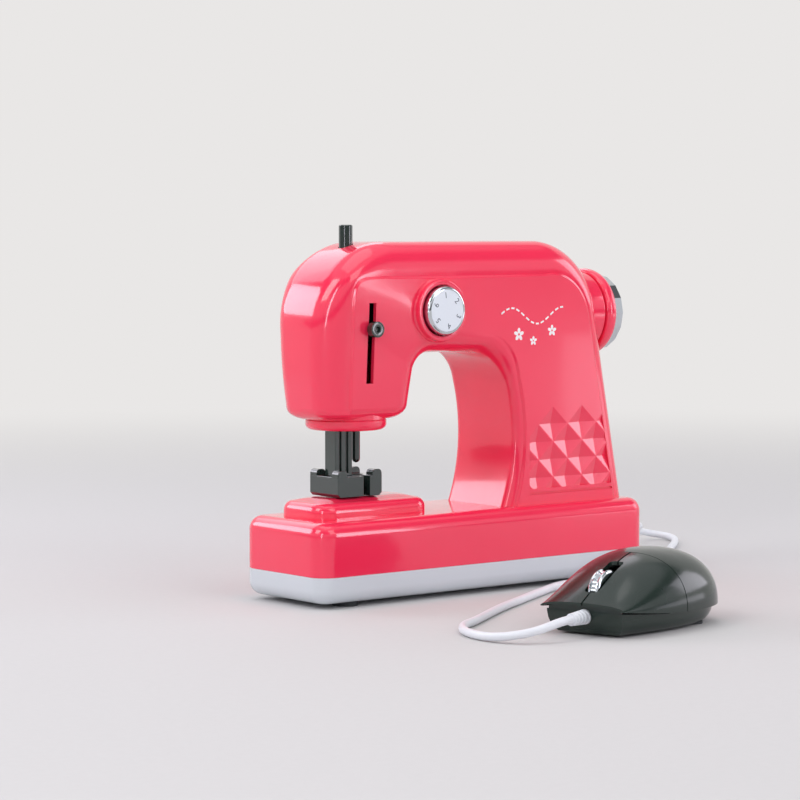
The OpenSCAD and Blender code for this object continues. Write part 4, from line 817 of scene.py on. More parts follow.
class TOY_OT_base(bpy.types.Operator):
    """Housing and tray of the base, with the seam between them"""

    bl_idname = "toy.base"
    bl_label = "Base"

    def execute(self, context):
        housing = base_half("base_housing_moulding", BASE_H, 1)
        wall_end = axis_at(TO_RIGHT, BASE_L / 2, 0, GLAND_Z)
        combine(housing, [cylinder("gland_hole", GLAND_R, wall_end, -6, 2, 40)])
        fit(housing, "machine", "pink_plastic", "base_housing")

        tray = base_half("base_tray_moulding", TRAY_LOW, -1)
        bay_x, bay_y, bay_low, bay_high = 29.9, 23.6, 4.2, 20.3
        combine(tray, [block("bay", -bay_x, bay_x, -bay_y, bay_y, bay_low, bay_high)], "UNION")
        low, high = node_box("battery_door")
        gap, bay_right, tab_left, tab_half, tab_high = 0.2, 28.3, 27, 7, 3.6
        half = (high.y - low.y) / 2 + gap
        cuts = [
            block("bay_space", low.x - gap, bay_right, -half, half, 0, 30),
            block("door_tab", tab_left, high.x + gap, -tab_half, tab_half, 0, tab_high),
        ]
        screw_r, screw_x, screw_y, screw_deep = 2.8, 96.5, 19.5, 6.5
        for sx in (-1, 1):
            for sy in (-1, 1):
                at = axis_at(UP, sx * screw_x, sy * screw_y, 0)
                cuts.append(cylinder("screw_well", screw_r, at, 0, screw_deep, 32))
        grille_r, grille_x, pitch, grille_deep = 1.2, -70, 4.6, 8
        for j in (-1, 0, 1):
            for k in (-1, 0, 1):
                at = axis_at(UP, grille_x + pitch * j, pitch * k, 0)
                cuts.append(cylinder("grille", grille_r, at, 0, grille_deep, 20))
        combine(tray, cuts)
        fit(tray, "machine", "pale_plastic", "base_tray")
        return {"FINISHED"}


class TOY_OT_plate(bpy.types.Operator):
    """Raised block below the needle"""

    bl_idname = "toy.plate"
    bl_label = "Needle plate"

    def execute(self, context):
        low, high = node_box("needle_plate")
        length, depth, x = high.x - low.x, high.y - low.y, (low.x + high.x) / 2
        corner, edge, crown, flat, steps = 10.0, 5.0, 1.5, 13.0, 8
        rings = [ring(length, depth, corner, BASE_H, x)]
        rings += edge_rings(length, depth, corner, edge, high.z - crown, 1, x)
        # The top swells a little towards its middle
        for k, a in enumerate(quarter_turn(steps, 1), 1):
            inset = mix(edge, flat, k / steps)
            level = high.z - crown + crown * math.sin(a)
            rings.append(ring(length - 2 * inset, depth - 2 * inset, edge, level, x))
        plate = skin("needle_plate_moulding", rings)
        fit(plate, "machine", "pink_plastic", "needle_plate")
        return {"FINISHED"}


# The presser bar's sides and half of its depth, and the room round it
BAR_LEFT, BAR_RIGHT, BAR_HALF, BAR_ROOM = -79.1, -68.3, 4.3, 0.3


class TOY_OT_collars(bpy.types.Operator):
    """Guide below the head and boss behind the handwheel"""

    bl_idname = "toy.collars"
    bl_label = "Collars"

    def execute(self, context):
        low, high = node_box("head_collar")
        r, bend, nick = (high.x - low.x) / 2, 3, 0.5
        profile = [(0, low.z), (r - bend, low.z)]
        for a in quarter_turn(8, 1):
            profile.append((r - bend + bend * math.sin(a), low.z + bend - bend * math.cos(a)))
        # A nick marks where the guide meets the head
        profile += [(r, HEAD_Z - 0.6), (r - nick, HEAD_Z - 0.1), (r - nick, HEAD_Z), (r, HEAD_Z + 0.2)]
        profile += [(r, high.z), (0, high.z)]
        guide = lathe("head_guide", profile, axis_at(UP, NEEDLE_X, 0, 0), 96)
        half, rod_r, below, above = BAR_HALF + BAR_ROOM, 2.15, 70, 110
        cuts = [
            block("bar_way", BAR_LEFT - BAR_ROOM, BAR_RIGHT + BAR_ROOM, -half, half, below, above),
            cylinder("rod_way", rod_r, axis_at(UP, ROD_X, 0, 0), below, above, 40),
        ]
        combine(guide, cuts)
        fit(guide, "machine", "pink_plastic", "head_collar")

        low, high = node_box("shaft_collar")
        r, bore = (high.z - low.z) / 2, 2.55
        profile = rounded([(bore, low.x), (r, low.x), (r, high.x), (bore, high.x)], 1.2, 6) + [(bore, low.x)]
        boss = lathe("shaft_boss", profile, axis_at(TO_RIGHT, 0, 0, SHAFT_Z), 96)
        fit(boss, "machine", "pink_plastic", "shaft_collar")
        return {"FINISHED"}


# Handwheel, dial and the dark works


class TOY_OT_handwheel(bpy.types.Operator):
    """Pink rim and plated cap that turn the drive"""

    bl_idname = "toy.handwheel"
    bl_label = "Handwheel"

    def execute(self, context):
        low, high = node_box("handwheel_rim")
        r, w = (high.z - low.z) / 2, high.x - low.x
        bore, swell = 2.5, 0.8
        at = axis_at(TO_RIGHT, 0, 0, SHAFT_Z)
        profile = [(bore, low.x), (r - swell, low.x), (r, low.x + w * 0.3)]
        profile += [(r, low.x + w * 0.7), (r - swell, high.x), (bore, high.x)]
        rim = lathe("handwheel_ring", rounded(profile, 2.0, 6) + profile[:1], at, 96)
        fit(rim, "drive", "pink_plastic", "handwheel_rim")

        low, high = node_box("handwheel_cap")
        flats, inner = 16, 20.0
        # The corners between the flats are a little blunt
        blunt = 0.9975 * inner / math.cos(math.pi / flats)
        steps, sector = flats * 4, 2 * math.pi / flats
        # Share of the radius and height, from the back over the side and the rim to the sunk middle
        edge = [(0.0, low.x), (0.95, low.x), (1.0, low.x + 0.8), (1.0, high.x - 1.2)]
        edge += [(0.95, high.x - 0.25), (0.9, high.x), (0.76, high.x)]
        edge += [(0.73, high.x - 0.3), (0.7, high.x - 1.6), (0.0, high.x - 2.0)]
        least_faceted = 0.8
        rings = []
        for share, h in edge:
            row = []
            for k in range(steps):
                a = 2 * math.pi * k / steps
                facet = min(inner / math.cos(a % sector - sector / 2), blunt)
                row.append(turned(at, (facet if share > least_faceted else inner) * share, a, h))
            rings.append(row)
        cap = skin("handwheel_facets", rings, sharp=14.0, capped=False)
        fit(cap, "drive", "bright_plating", "handwheel_cap")
        return {"FINISHED"}


class TOY_OT_dial(bpy.types.Operator):
    """Plated knob with a pale disc and plain numbers"""

    bl_idname = "toy.dial"
    bl_label = "Dial"

    def execute(self, context):
        low, high = node_box("dial_knob")
        r, front = (high.x - low.x) / 2, low.y - MID_Y
        at = axis_at(TO_FRONT, DIAL[0], 0, DIAL[1])
        top, back = -front, ARM_D / 2 + 0.3
        stem_r, stem_l, bend, sunk = 3.0, 7, 1.6, 0.6
        profile = [(0, back - stem_l), (stem_r, back - stem_l), (stem_r, back)]
        profile += [(r - 0.4, back), (r, back + 0.5)]
        profile += [(r - bend * (1 - math.cos(a)), top - bend + bend * math.sin(a)) for a in quarter_turn(6)]
        profile += [(DISC_R + 0.1, top), (DISC_R + 0.05, top - sunk), (0, top - sunk)]
        knob = lathe("dial_ring", profile, at, 96)
        fit(knob, "dial", "bright_plating", "dial_knob")
        profile = [(0, top - sunk), (DISC_R, top - sunk), (DISC_R, top - 0.15), (DISC_R - 0.2, top), (0, top)]
        face = lathe("dial_disc", profile, at, 96)
        fit(face, "dial", "dial_print", "dial_face")
        marks = join("dial_numbers", [self.number(context, k, front) for k in range(6)])
        fit(marks, "dial", "dial_print", material=mark_ink())
        return {"FINISHED"}

    def number(self, context, k, front):
        """One of the six plain numbers, a hair before the disc and upright towards its rim."""
        height, thick, reach, lift, lead = 4.3, 0.01, 7.7, 0.02, 8
        curve = bpy.data.curves.new("number", "FONT")
        curve.body = str(k + 1)
        curve.size = height * MM
        curve.align_x = "CENTER"
        curve.align_y = "CENTER"
        curve.extrude = thick * MM
        text = add_object("number", curve)
        a = math.radians(90 - 60 * k + lead)
        spot = machine(DIAL[0] + reach * math.cos(a), front - lift, DIAL[1] + reach * math.sin(a))
        facing = Matrix.Rotation(math.pi / 2, 4, "X") @ Matrix.Rotation(a - math.pi / 2, 4, "Z")
        text.matrix_world = Matrix.Translation(spot) @ facing
        bpy.context.view_layer.update()
        mesh = bpy.data.meshes.new_from_object(text.evaluated_get(context.evaluated_depsgraph_get()))
        mesh.transform(text.matrix_world)
        bpy.data.objects.remove(text)
        bpy.data.curves.remove(curve)
        return add_object("number", mesh)


class TOY_OT_needle_works(bpy.types.Operator):
    """Bar, rod and lever that go up and down together"""

    bl_idname = "toy.needle_works"
    bl_label = "Needle works"

    def execute(self, context):
        low, high = node_box("needle_bar")
        r = (high.x - low.x) / 2
        # A chamfered rim round a shallow dish
        profile = [(0, low.z), (r, low.z), (r, high.z - 0.5), (r - 0.5, high.z), (r - 1.1, high.z)]
        profile += [(r - 1.3, high.z - 0.3), (0, high.z - 0.3)]
        bar = lathe("needle_bar_turned", profile, axis_at(UP, NEEDLE_X, 0, 0), 64)
        fit(bar, "needle", "dark_plastic", "needle_bar")

        low, high = node_box("needle_rod")
        r = (high.x - low.x) / 2
        profile = [(r * math.sin(a), low.z + r - r * math.cos(a)) for a in quarter_turn(8)]
        rod = lathe("needle_rod_turned", profile + [(r, high.z), (0, high.z)], axis_at(UP, ROD_X, 0, 0), 48)
        fit(rod, "needle", "dark_plastic", "needle_rod")

        low, high = node_box("take_up_lever")
        x, z = (low.x + high.x) / 2, (low.z + high.z) / 2
        front, rear = low.y - MID_Y, high.y - MID_Y
        half_w, half_h, knob_r, knob_l, dish_r = 1.5, 2.5, 4, 4.2, 1.5
        arm = block("lever_arm", x - half_w, x + half_w, front + 3.2, rear, z - half_h, z + half_h)
        profile = [(0, -front - knob_l), (knob_r, -front - knob_l), (knob_r, -front), (dish_r, -front)]
        profile += [(dish_r - 0.3, -front - 1.9), (0, -front - 2.1)]
        knob = lathe("lever_knob", rounded(profile, 0.5, 4), axis_at(TO_FRONT, x, 0, z), 56)
        lever = shade(join("take_up_lever_moulding", [arm, knob]))
        fit(lever, "needle", "dark_plastic", "take_up_lever")
        return {"FINISHED"}


class TOY_OT_presser(bpy.types.Operator):
    """Grooved bar and notched foot"""

    bl_idname = "toy.presser"
    bl_label = "Presser"

    def execute(self, context):
        low, high = node_box("presser_bar")
        bar = block("presser_bar_moulding", BAR_LEFT, BAR_RIGHT, -BAR_HALF, BAR_HALF, low.z, high.z)
        apart, half, deep, start, end = 2.16, 0.7, 1.4, low.z + 1.4, 88.3
        front = -BAR_HALF
        grooves = []
        for s in (-1, 1):
            x = (BAR_LEFT + BAR_RIGHT) / 2 + s * apart
            grooves.append(block("bar_groove", x - half, x + half, front - 1, front + deep, start, end))
        combine(bar, grooves)
        # A flange above the guide stops the bar
        flange, stop_low, stop_high = 1.8, 95.3, 97.7
        half = BAR_HALF + flange
        collar = block("presser_stop", BAR_LEFT - flange, BAR_RIGHT, -half, half, stop_low, stop_high)
        combine(bar, [collar], "UNION")
        round_edges(bar)
        fit(bar, "presser", "dark_plastic", "presser_bar")

        low, high = node_box("presser_foot")
        w, d = high.x - low.x, high.y - low.y
        x0, x1, half, z0 = low.x, high.x, d / 2, low.z
        block_h, lower_edge, horn_w, horn_d, horn_power = 10.2, 1.6, 6, 5.4, 0.7
        z1 = z0 + block_h
        side = [(x0 + lower_edge, z0), (x1 - lower_edge, z0), (x1, z0 + lower_edge), (x1, z1), (x0, z1)]
        foot = slab("presser_foot_moulding", side + [(x0, z0 + lower_edge)], -half, half)
        horns = []
        for sx in (0, 1):
            for sy in (0, 1):
                a, b = x0 + sx * (w - horn_w), -half + sy * (d - horn_d)
                bump = [(a, z1 - 1), (a + horn_w, z1 - 1)]
                for k in range(13):
                    c, s = math.cos(math.pi * k / 12), math.sin(math.pi * k / 12)
                    u = a + horn_w / 2 + horn_w / 2 * math.copysign(abs(c) ** horn_power, c)
                    bump.append((u, z1 + (high.z - z1) * s**horn_power))
                horns.append(slab("horn", bump, b, b + horn_d))
        combine(foot, horns, "UNION")
        notch_w, needle_r = 4, 3.7
        cuts = [
            block("front_way", ROD_X - notch_w, ROD_X, -half - 1, -d / 5, z0 - 1, z1 + 1),
            cylinder("needle_way", needle_r, axis_at(UP, ROD_X, 0, 0), z0 - 1, z1 + 1, 40),
        ]
        combine(foot, cuts)
        round_edges(foot)
        fit(foot, "presser", "dark_plastic", "presser_foot")
        return {"FINISHED"}


# Pedal, in millimetres from its nose, with the forms of the CAD source

PEDAL_L, PEDAL_W, PEDAL_H, PEDAL_WALL = 96.0, 62.0, 36.0, 1.8
NOSE, YAW = (-68.0, -173.0), math.radians(16)
CREST, SPLIT, NOSE_SHARE, NOSE_H = 0.59, 0.46, 0.72, 0.44
WAIST_NOSE, WAIST_TAIL, SECTION = 0.36, 0.25, 2.3
TAIL_POWER, TAIL_ROOT, TAIL_LEAST = 2.6, 2.2, 0.03
RELIEF_Z, RELIEF_R, RELIEF_ROOT, RELIEF_L = 9.2, 3.5, 3.8, 13.5
PEDAL_WAY = (math.cos(YAW), math.sin(YAW), 0)


def pedal_place(x, y, z):
    c, s = math.cos(YAW), math.sin(YAW)
    return machine(NOSE[0] + x * c - y * s, NOSE[1] + x * s + y * c, z)


def crest_share(s):
    return math.sin(math.pi / 2 * s / CREST) if s < CREST else 1.0


def tail_share(s):
    if s < CREST:
        return 1.0
    t = (s - CREST) / (1 - CREST)
    return max(max(1 - t**TAIL_POWER, 0) ** (1 / TAIL_ROOT), TAIL_LEAST)


def pedal_half(s):
    return PEDAL_W / 2 * mix(NOSE_SHARE, 1, crest_share(s)) * tail_share(s)


def pedal_waist(s):
    return PEDAL_H * mix(WAIST_NOSE, WAIST_TAIL, crest_share(s))


def pedal_rise(s):
    c = crest_share(s)
    return PEDAL_H * (mix(NOSE_H, 1, c) - mix(WAIST_NOSE, WAIST_TAIL, c)) * tail_share(s)


def dome_point(s, a, x, depth):
    """A place on the dome at a share of its length and an angle across it, in by a depth."""
    c, n = math.cos(a), abs(math.sin(a))
    half = pedal_half(s) - min(depth, pedal_half(s) / 2)
    rise = pedal_rise(s) - min(depth, pedal_rise(s) / 2)
    return (x, half * math.copysign(abs(c) ** (2 / SECTION), c), pedal_waist(s) + rise * n ** (2 / SECTION))


class TOY_OT_pedal_shell(bpy.types.Operator):
    """Rear dome and base of the pedal"""

    bl_idname = "toy.pedal_shell"
    bl_label = "Pedal shell"

    def execute(self, context):
        gap, across = 0.5, 48
        start = SPLIT + gap / PEDAL_L
        shares = [start + (1 - start) * math.sin(a) for a in quarter_turn(36)]
        angles = [math.pi - math.pi * k / across for k in range(across + 1)]

        def grid(depth):
            rows = []
            for s in shares:
                x = PEDAL_L * start + (s - start) * (PEDAL_L - depth / (1 - start))
                rows.append([pedal_place(*dome_point(s, a, x, depth)) for a in angles])
            return rows

        dome = sheet("pedal_dome", grid(0), grid(PEDAL_WALL))
        fit(dome, "machine", "pedal_plastic", "pedal_top")

        rim, foot, floor, floor_in = PEDAL_WALL + 0.4, 1.2, 3.0, 4
        nose_fall, seam = 0.75, 0.25

        def outline(margin):
            side = []
            for a in quarter_turn(40):
                s = math.sin(a)
                side.append((margin + s * (PEDAL_L - 2 * margin), max(pedal_half(s) - margin, pedal_half(1))))
            return [(x, -y) for x, y in side] + side[::-1]

        def rim_z(x):
            s = x / PEDAL_L
            return pedal_waist(s) - (nose_fall * (1 - s / SPLIT) if s < SPLIT else 0) - seam

        def band(margin, share):
            return [pedal_place(x, y, mix(foot, rim_z(x), share)) for x, y in outline(rim + margin)]

        def level(margin, z):
            return [pedal_place(x, y, z) for x, y in outline(rim + margin)]

        # Margin and share of the height, from the foot up the bulging side and over the rim
        flank = ((2.6, 0.14), (1.4, 0.34), (0.5, 0.6), (0.1, 0.85), (0, 1), (PEDAL_WALL, 1))
        rings = [level(floor_in, foot)] + [band(margin, share) for margin, share in flank]
        rings.append(level(floor_in + PEDAL_WALL, floor))
        base = skin("pedal_base_moulding", rings, PEDAL_SHARP)

        # A lip behind the buttons' front edge keeps light out of the nose, and leaves room for their travel
        travel, front, thick, steps = 0.85, rim + 0.3, 1.2, 12
        lip_half, lip_low = pedal_half(0) - rim - 0.9, rim_z(0) - 1.0
        s = front / PEDAL_L
        arch = [(lip_half, lip_low), (-lip_half, lip_low)]
        for k in range(steps + 1):
            y = mix(-lip_half, lip_half, k / steps)
            crown = (1 - (abs(y) / (pedal_half(s) - PEDAL_WALL)) ** SECTION) ** (1 / SECTION)
            arch.append((y, pedal_waist(s) + (pedal_rise(s) - PEDAL_WALL) * crown - travel))
        lip = skin("nose_lip", [[pedal_place(x, y, z) for y, z in arch] for x in (front, front + thick)])
        combine(base, [lip], "UNION", PEDAL_SHARP)
        at = frame_of(PEDAL_WAY, pedal_place(0, 0, RELIEF_Z))
        combine(base, [cylinder("relief_seat", RELIEF_R, at, -2, RELIEF_ROOT, 40)], "DIFFERENCE", PEDAL_SHARP)
        fit(base, "machine", "pedal_plastic", "pedal_base")
        return {"FINISHED"}


class TOY_OT_pedal_buttons(bpy.types.Operator):
    """The two buttons of the pedal, each with half of the wheel's slot"""

    bl_idname = "toy.pedal_buttons"
    bl_label = "Pedal buttons"

    def execute(self, context):
        rows, gap = 32, 0.4
        slot_start, slot_end, slot_half, corner = 7.5, 32.5, 3.75, 2.0
        at = Matrix.Translation(pedal_place(0, 0, 0)) @ Matrix.Rotation(YAW, 4, "Z")
        for side, name in ((-1, "left"), (1, "right")):

            def grid(depth):
                out = []
                for j in range(rows + 1):
                    s = SPLIT * j / rows
                    row = []
                    for a in quarter_turn(28):
                        x, y, z = dome_point(s, math.pi / 2 - a, PEDAL_L * s, depth)
                        y = gap + y * (1 - gap / pedal_half(s))
                        row.append(pedal_place(x, side * y, z))
                    out.append(row)
                return out

            button = sheet(f"pedal_button_{name}_moulding", grid(0), grid(PEDAL_WALL))
            outline = [(slot_start, -1), (slot_end, -1)]
            for x, bend in ((slot_end - corner, 0), (slot_start + corner, math.pi / 2)):
                for a in quarter_turn(6):
                    c, s = math.cos(a + bend), math.sin(a + bend)
                    outline.append((x + corner * c, slot_half - corner + corner * s))
            way = prism("wheel_way", [(x, side * y) for x, y in outline], 0, 40, at)
            combine(button, [way], "DIFFERENCE", SHELL_SHARP)
            fit(button, f"button_{name}", "pedal_plastic", f"pedal_button_{name}")
        return {"FINISHED"}


class TOY_OT_scroll(bpy.types.Operator):
    """Plated scroll wheel with a ribbed band"""

    bl_idname = "toy.scroll"
    bl_label = "Scroll wheel"

    def execute(self, context):
        low, high = node_box("scroll_wheel")
        r, half, wheel_x, steps, ribs, rib_deep = (high.z - low.z) / 2, 3.0, 20, 144, 14, 0.55
        across = (-math.sin(YAW), math.cos(YAW), 0)
        at = frame_of(across, pedal_place(wheel_x, 0, (low.z + high.z) / 2))
        # Two smooth round rims with a ribbed band between them; how far in from the radius and from the side
        bore, band_in, band_side = 1.55, 0.6, 1.7
        rim = [(bore, half)]
        rim += [(r - a, half - b) for a, b in ((1.7, 0), (0.7, 0.15), (0.2, 0.5), (0, 1.0), (0.2, 1.5))]
        band = half - band_side
        edge = [(radius, -h) for radius, h in rim] + [(r - band_in, -band), (r - band_in, band)] + rim[::-1]
        rings = []
        for radius, h in edge:
            deep = rib_deep if abs(h) <= band else 0.0
            row = []
            for k in range(steps):
                a = 2 * math.pi * k / steps
                row.append(turned(at, radius - deep * (0.5 + 0.5 * math.cos(ribs * a)), a, h))
            rings.append(row)
        rings.append(rings[0])
        wheel = skin("scroll_wheel_plated", rings, sharp=40.0, capped=False)
        fit(wheel, "scroll", "bright_plating", "scroll_wheel")
        return {"FINISHED"}


# Cord, from the gland in the base to the strain relief on the pedal

ROUTE = [
    (110, 0, 24), (120, 0, 24), (140, 9, 22), (165, 30, 18), (190, 57, 13), (211, 79, 8), (224, 87, 5.5),
    (234, 87, 3.5), (238, 80, 2.4), (231, 68, 2.2), (218, 55, 2.2), (205, 44, 2.2), (190, 31, 2.2),
    (174, 12, 2.2), (158, -10, 2.2), (140, -30, 2.2), (118, -42, 2.2), (92, -46, 2.2), (66, -43, 2.2),
    (41, -42, 2.2), (11, -57, 2.2), (-17, -73, 2.2), (-43, -88, 2.2), (-79, -112, 2.2), (-94, -121, 2.2),
    (-104, -132, 2.2), (-109, -144, 2.2), (-110, -156, 2.4), (-107, -167, 3.6), (-99, -175, 5.8),
]
RELIEF_TIP = RELIEF_ROOT - RELIEF_L


def cord_line():
    """Places along the cord, 2 mm or so apart, on a smooth curve through the route."""
    way, lead, apart = Vector(PEDAL_WAY), 8, 2
    end = Vector((NOSE[0] + RELIEF_TIP * way.x, NOSE[1] + RELIEF_TIP * way.y, RELIEF_Z))
    route = [Vector(p) for p in ROUTE] + [end - lead * way, end]
    line = []
    n = len(route) - 1
    for k in range(n):
        a, b, d, e = route[max(k - 1, 0)], route[k], route[k + 1], route[min(k + 2, n)]
        steps = max(2, round((d - b).length / apart))
        for i in range(steps):
            u = i / steps
            bend = u * u * (a - 2.5 * b + 2 * d - e / 2) + u**3 * (-a + 3 * b - 3 * d + e) / 2
            line.append(b + u * (d - a) / 2 + bend)
    line.append(end)
    return [machine(*p) for p in line]


class TOY_OT_cord(bpy.types.Operator):
    """White cord with its ribbed relief and its gland"""

    bl_idname = "toy.cord"
    bl_label = "Cord"

    def execute(self, context):
        line = cord_line()
        curve = bpy.data.curves.new("cord_jacket", "CURVE")
        curve.dimensions = "3D"
        spline = curve.splines.new("POLY")
        spline.points.add(len(line) - 1)
        for point, at in zip(spline.points, line):
            point.co = (*at, 1.0)
        curve.bevel_depth = sizes().cord_d * MM / 2
        curve.bevel_resolution = 6
        curve.use_fill_caps = True
        spline.use_smooth = True
        cord = add_object("cord_jacket", curve)
        fit(cord, "machine", "cord_jacket", "cord")

        # Five ribs that grow towards the pedal, with grooves between them
        ribs, rib_share, first_r, groove_r, chamfer = 5, 0.6, 2.9, 2.35, 0.25
        pitch = RELIEF_L / ribs
        profile = [(0, RELIEF_TIP), (2.2, RELIEF_TIP), (2.4, RELIEF_TIP + 0.2)]
        for k in range(ribs):
            a = RELIEF_TIP + k * pitch
            b, r = a + rib_share * pitch, mix(first_r, RELIEF_R, k / (ribs - 1))
            profile += [(r - chamfer, a + 0.05), (r, a + 0.3), (r, b - 0.3), (r - chamfer, b)]
            profile += [(groove_r, b + 0.1), (groove_r, a + pitch - 0.1)]
        profile += [(RELIEF_R, RELIEF_ROOT - 1.3), (RELIEF_R, RELIEF_ROOT), (0, RELIEF_ROOT)]
        at = frame_of(PEDAL_WAY, pedal_place(0, 0, RELIEF_Z))
        relief = lathe("strain_relief_moulding", profile, at, 48)
        fit(relief, "machine", "pale_plastic", "strain_relief", material=cord_pvc())

        outside, flange, neck_r = BASE_L / 2, 1.1, 4
        profile = [(0, outside - 9), (neck_r, outside - 9), (neck_r, outside - flange)]
        profile += [(GLAND_R, outside - flange), (GLAND_R, outside - 0.3)]
        profile += [(GLAND_R - 0.3, outside), (0, outside)]
        gland = lathe("cord_gland_moulding", profile, axis_at(TO_RIGHT, 0, 0, GLAND_Z), 48)
        fit(gland, "machine", "pale_plastic", "cord_gland")
        return {"FINISHED"}


class TOY_OT_print(bpy.types.Operator):
    """White stitch line and small blossoms printed on the column"""

    bl_idname = "toy.print"
    bl_label = "Print"

    def execute(self, context):
        y = -ARM_D / 2 - 0.02
        pieces = []

        def flat(name, outline):
            verts = [machine(x, y, z) for x, z in outline]
            mesh = bpy.data.meshes.new(name)
            mesh.from_pydata(verts, [], [tuple(range(len(verts)))])
            pieces.append(add_object(name, mesh))

        # The stitches follow a wave of one and a quarter turns
        left, run, height, swing, turns, lead = 12, 44, 141, 4.2, 1.25, 0.05
        stitches, stitch_share, half = 13, 0.62, 0.45

        def wave(t):
            return Vector((left + run * t, height + swing * math.sin(2 * math.pi * (turns * t + lead))))

        for k in range(stitches):
            p, q = wave(k / stitches), wave((k + stitch_share) / stitches)
            along = (q - p).normalized()
            side = Vector((-along.y, along.x)) * half
            flat("stitch", [p + side, p - side, q - side, q + side])
        # Blossoms of five petals; the petal's reach, half length and half width are shares of the radius
        petals, twist, reach, long, wide, steps = 5, 0.3, 0.62, 0.46, 0.3, 20
        for cx, cz, r in ((24, 131.5, 3.2), (34, 128.0, 2.3), (47, 133.0, 2.8)):
            for petal in range(petals):
                a = 2 * math.pi * petal / petals + twist
                c, s = math.cos(a), math.sin(a)
                outline = []
                for k in range(steps):
                    b = 2 * math.pi * k / steps
                    u, v = r * (reach + long * math.cos(b)), wide * r * math.sin(b)
                    outline.append((cx + u * c - v * s, cz + u * s + v * c))
                flat("petal", outline)
        fit(join("white_print", pieces), "machine", "dial_print", material=white_ink())
        return {"FINISHED"}


class TOY_OT_finishes(bpy.types.Operator):
    """Materials of the CAD pieces that stay as they are"""

    bl_idname = "toy.finishes"
    bl_label = "Finishes"

    def execute(self, context):
        slots = {p["node"]: p["material_slot"] for p in frame["record"]["subparts"]}
        for name, obj in NODES.items():
            obj.data.materials.clear()
            obj.data.materials.append(slot_material(slots[name]))
        return {"FINISHED"}


# Camera, floor and light

# The camera's place in the machine's millimetres, its lens in millimetres and its aim
CAMERA_AT, LENS, SENSOR = (-939.8, -1108.6, 190.7), 126.57, 36.0
CAMERA_YAW, CAMERA_PITCH = math.radians(39.255), math.radians(3.675)
AWAY = Vector((math.sin(CAMERA_YAW), math.cos(CAMERA_YAW), 0))
RIGHT = Vector((math.cos(CAMERA_YAW), -math.sin(CAMERA_YAW), 0))
# How far the floor goes to the front and the sides, and its sweep's start, radius and height, in metres
FLOOR_REACH, SWEEP_START, SWEEP_R, SWEEP_TOP = 12.0, 1.6, 0.9, 3.0
# The middle of the set, in metres
MIDDLE = Vector((0, 0.05, 0.1))
# Square lamps above the set: metres away, to the right and up, then size and power
LAMPS = {
    "key": (-0.7, -1.0, 1.0, 0.7, 6.5),
    "fill": (-0.9, 0.9, 1.1, 0.9, 5.3),
    "top": (0, 0, 1.3, 0.9, 2.5),
}
# Soft boxes that show in the gloss: metres to the right and away, lower and upper edge, width and power
SOFT_BOXES = {
    "panel_box": (1.0, -0.37, 0.07, 0.5, 0.2, 1.5),
    "column_box": (1.0, 0.12, 0.0, 0.09, 0.45, 0.22),
    "stud_box": (1.0, 0.36, 0.2, 0.72, 0.45, 2.0),
    "arch_box": (-1.0, 0.28, 0.3, 0.75, 0.45, 3.0),
}
# Lights for the edges: metres away, to the right and up, lift of the aim, then width, height and power
EDGE_BOXES = {
    "corner_strip": (-1.1, -0.42, 0.35, 0.2, 0.09, 0.8, 2.0),
    "rim_box": (0.9, -0.5, 0.9, 0.0, 1.4, 0.5, 3.5),
}
LAMP_TINT, BOX_TINT = (1.0, 0.98, 0.98), (0.92, 0.89, 1.0)
# Brightness of the room by height: dark skirting, bright cloth, dark ceiling with a bright middle
ROOM_BANDS = ((0.08, 0.14), (0.16, 0.95), (0.42, 1.0), (0.52, 0.2), (0.7, 0.18), (0.8, 0.95))
ROOM_LOW, ROOM_HIGH, ROOM_STRENGTH = (0.12, 0.13, 0.14, 1), (0.95, 0.96, 1.0, 1), 0.78


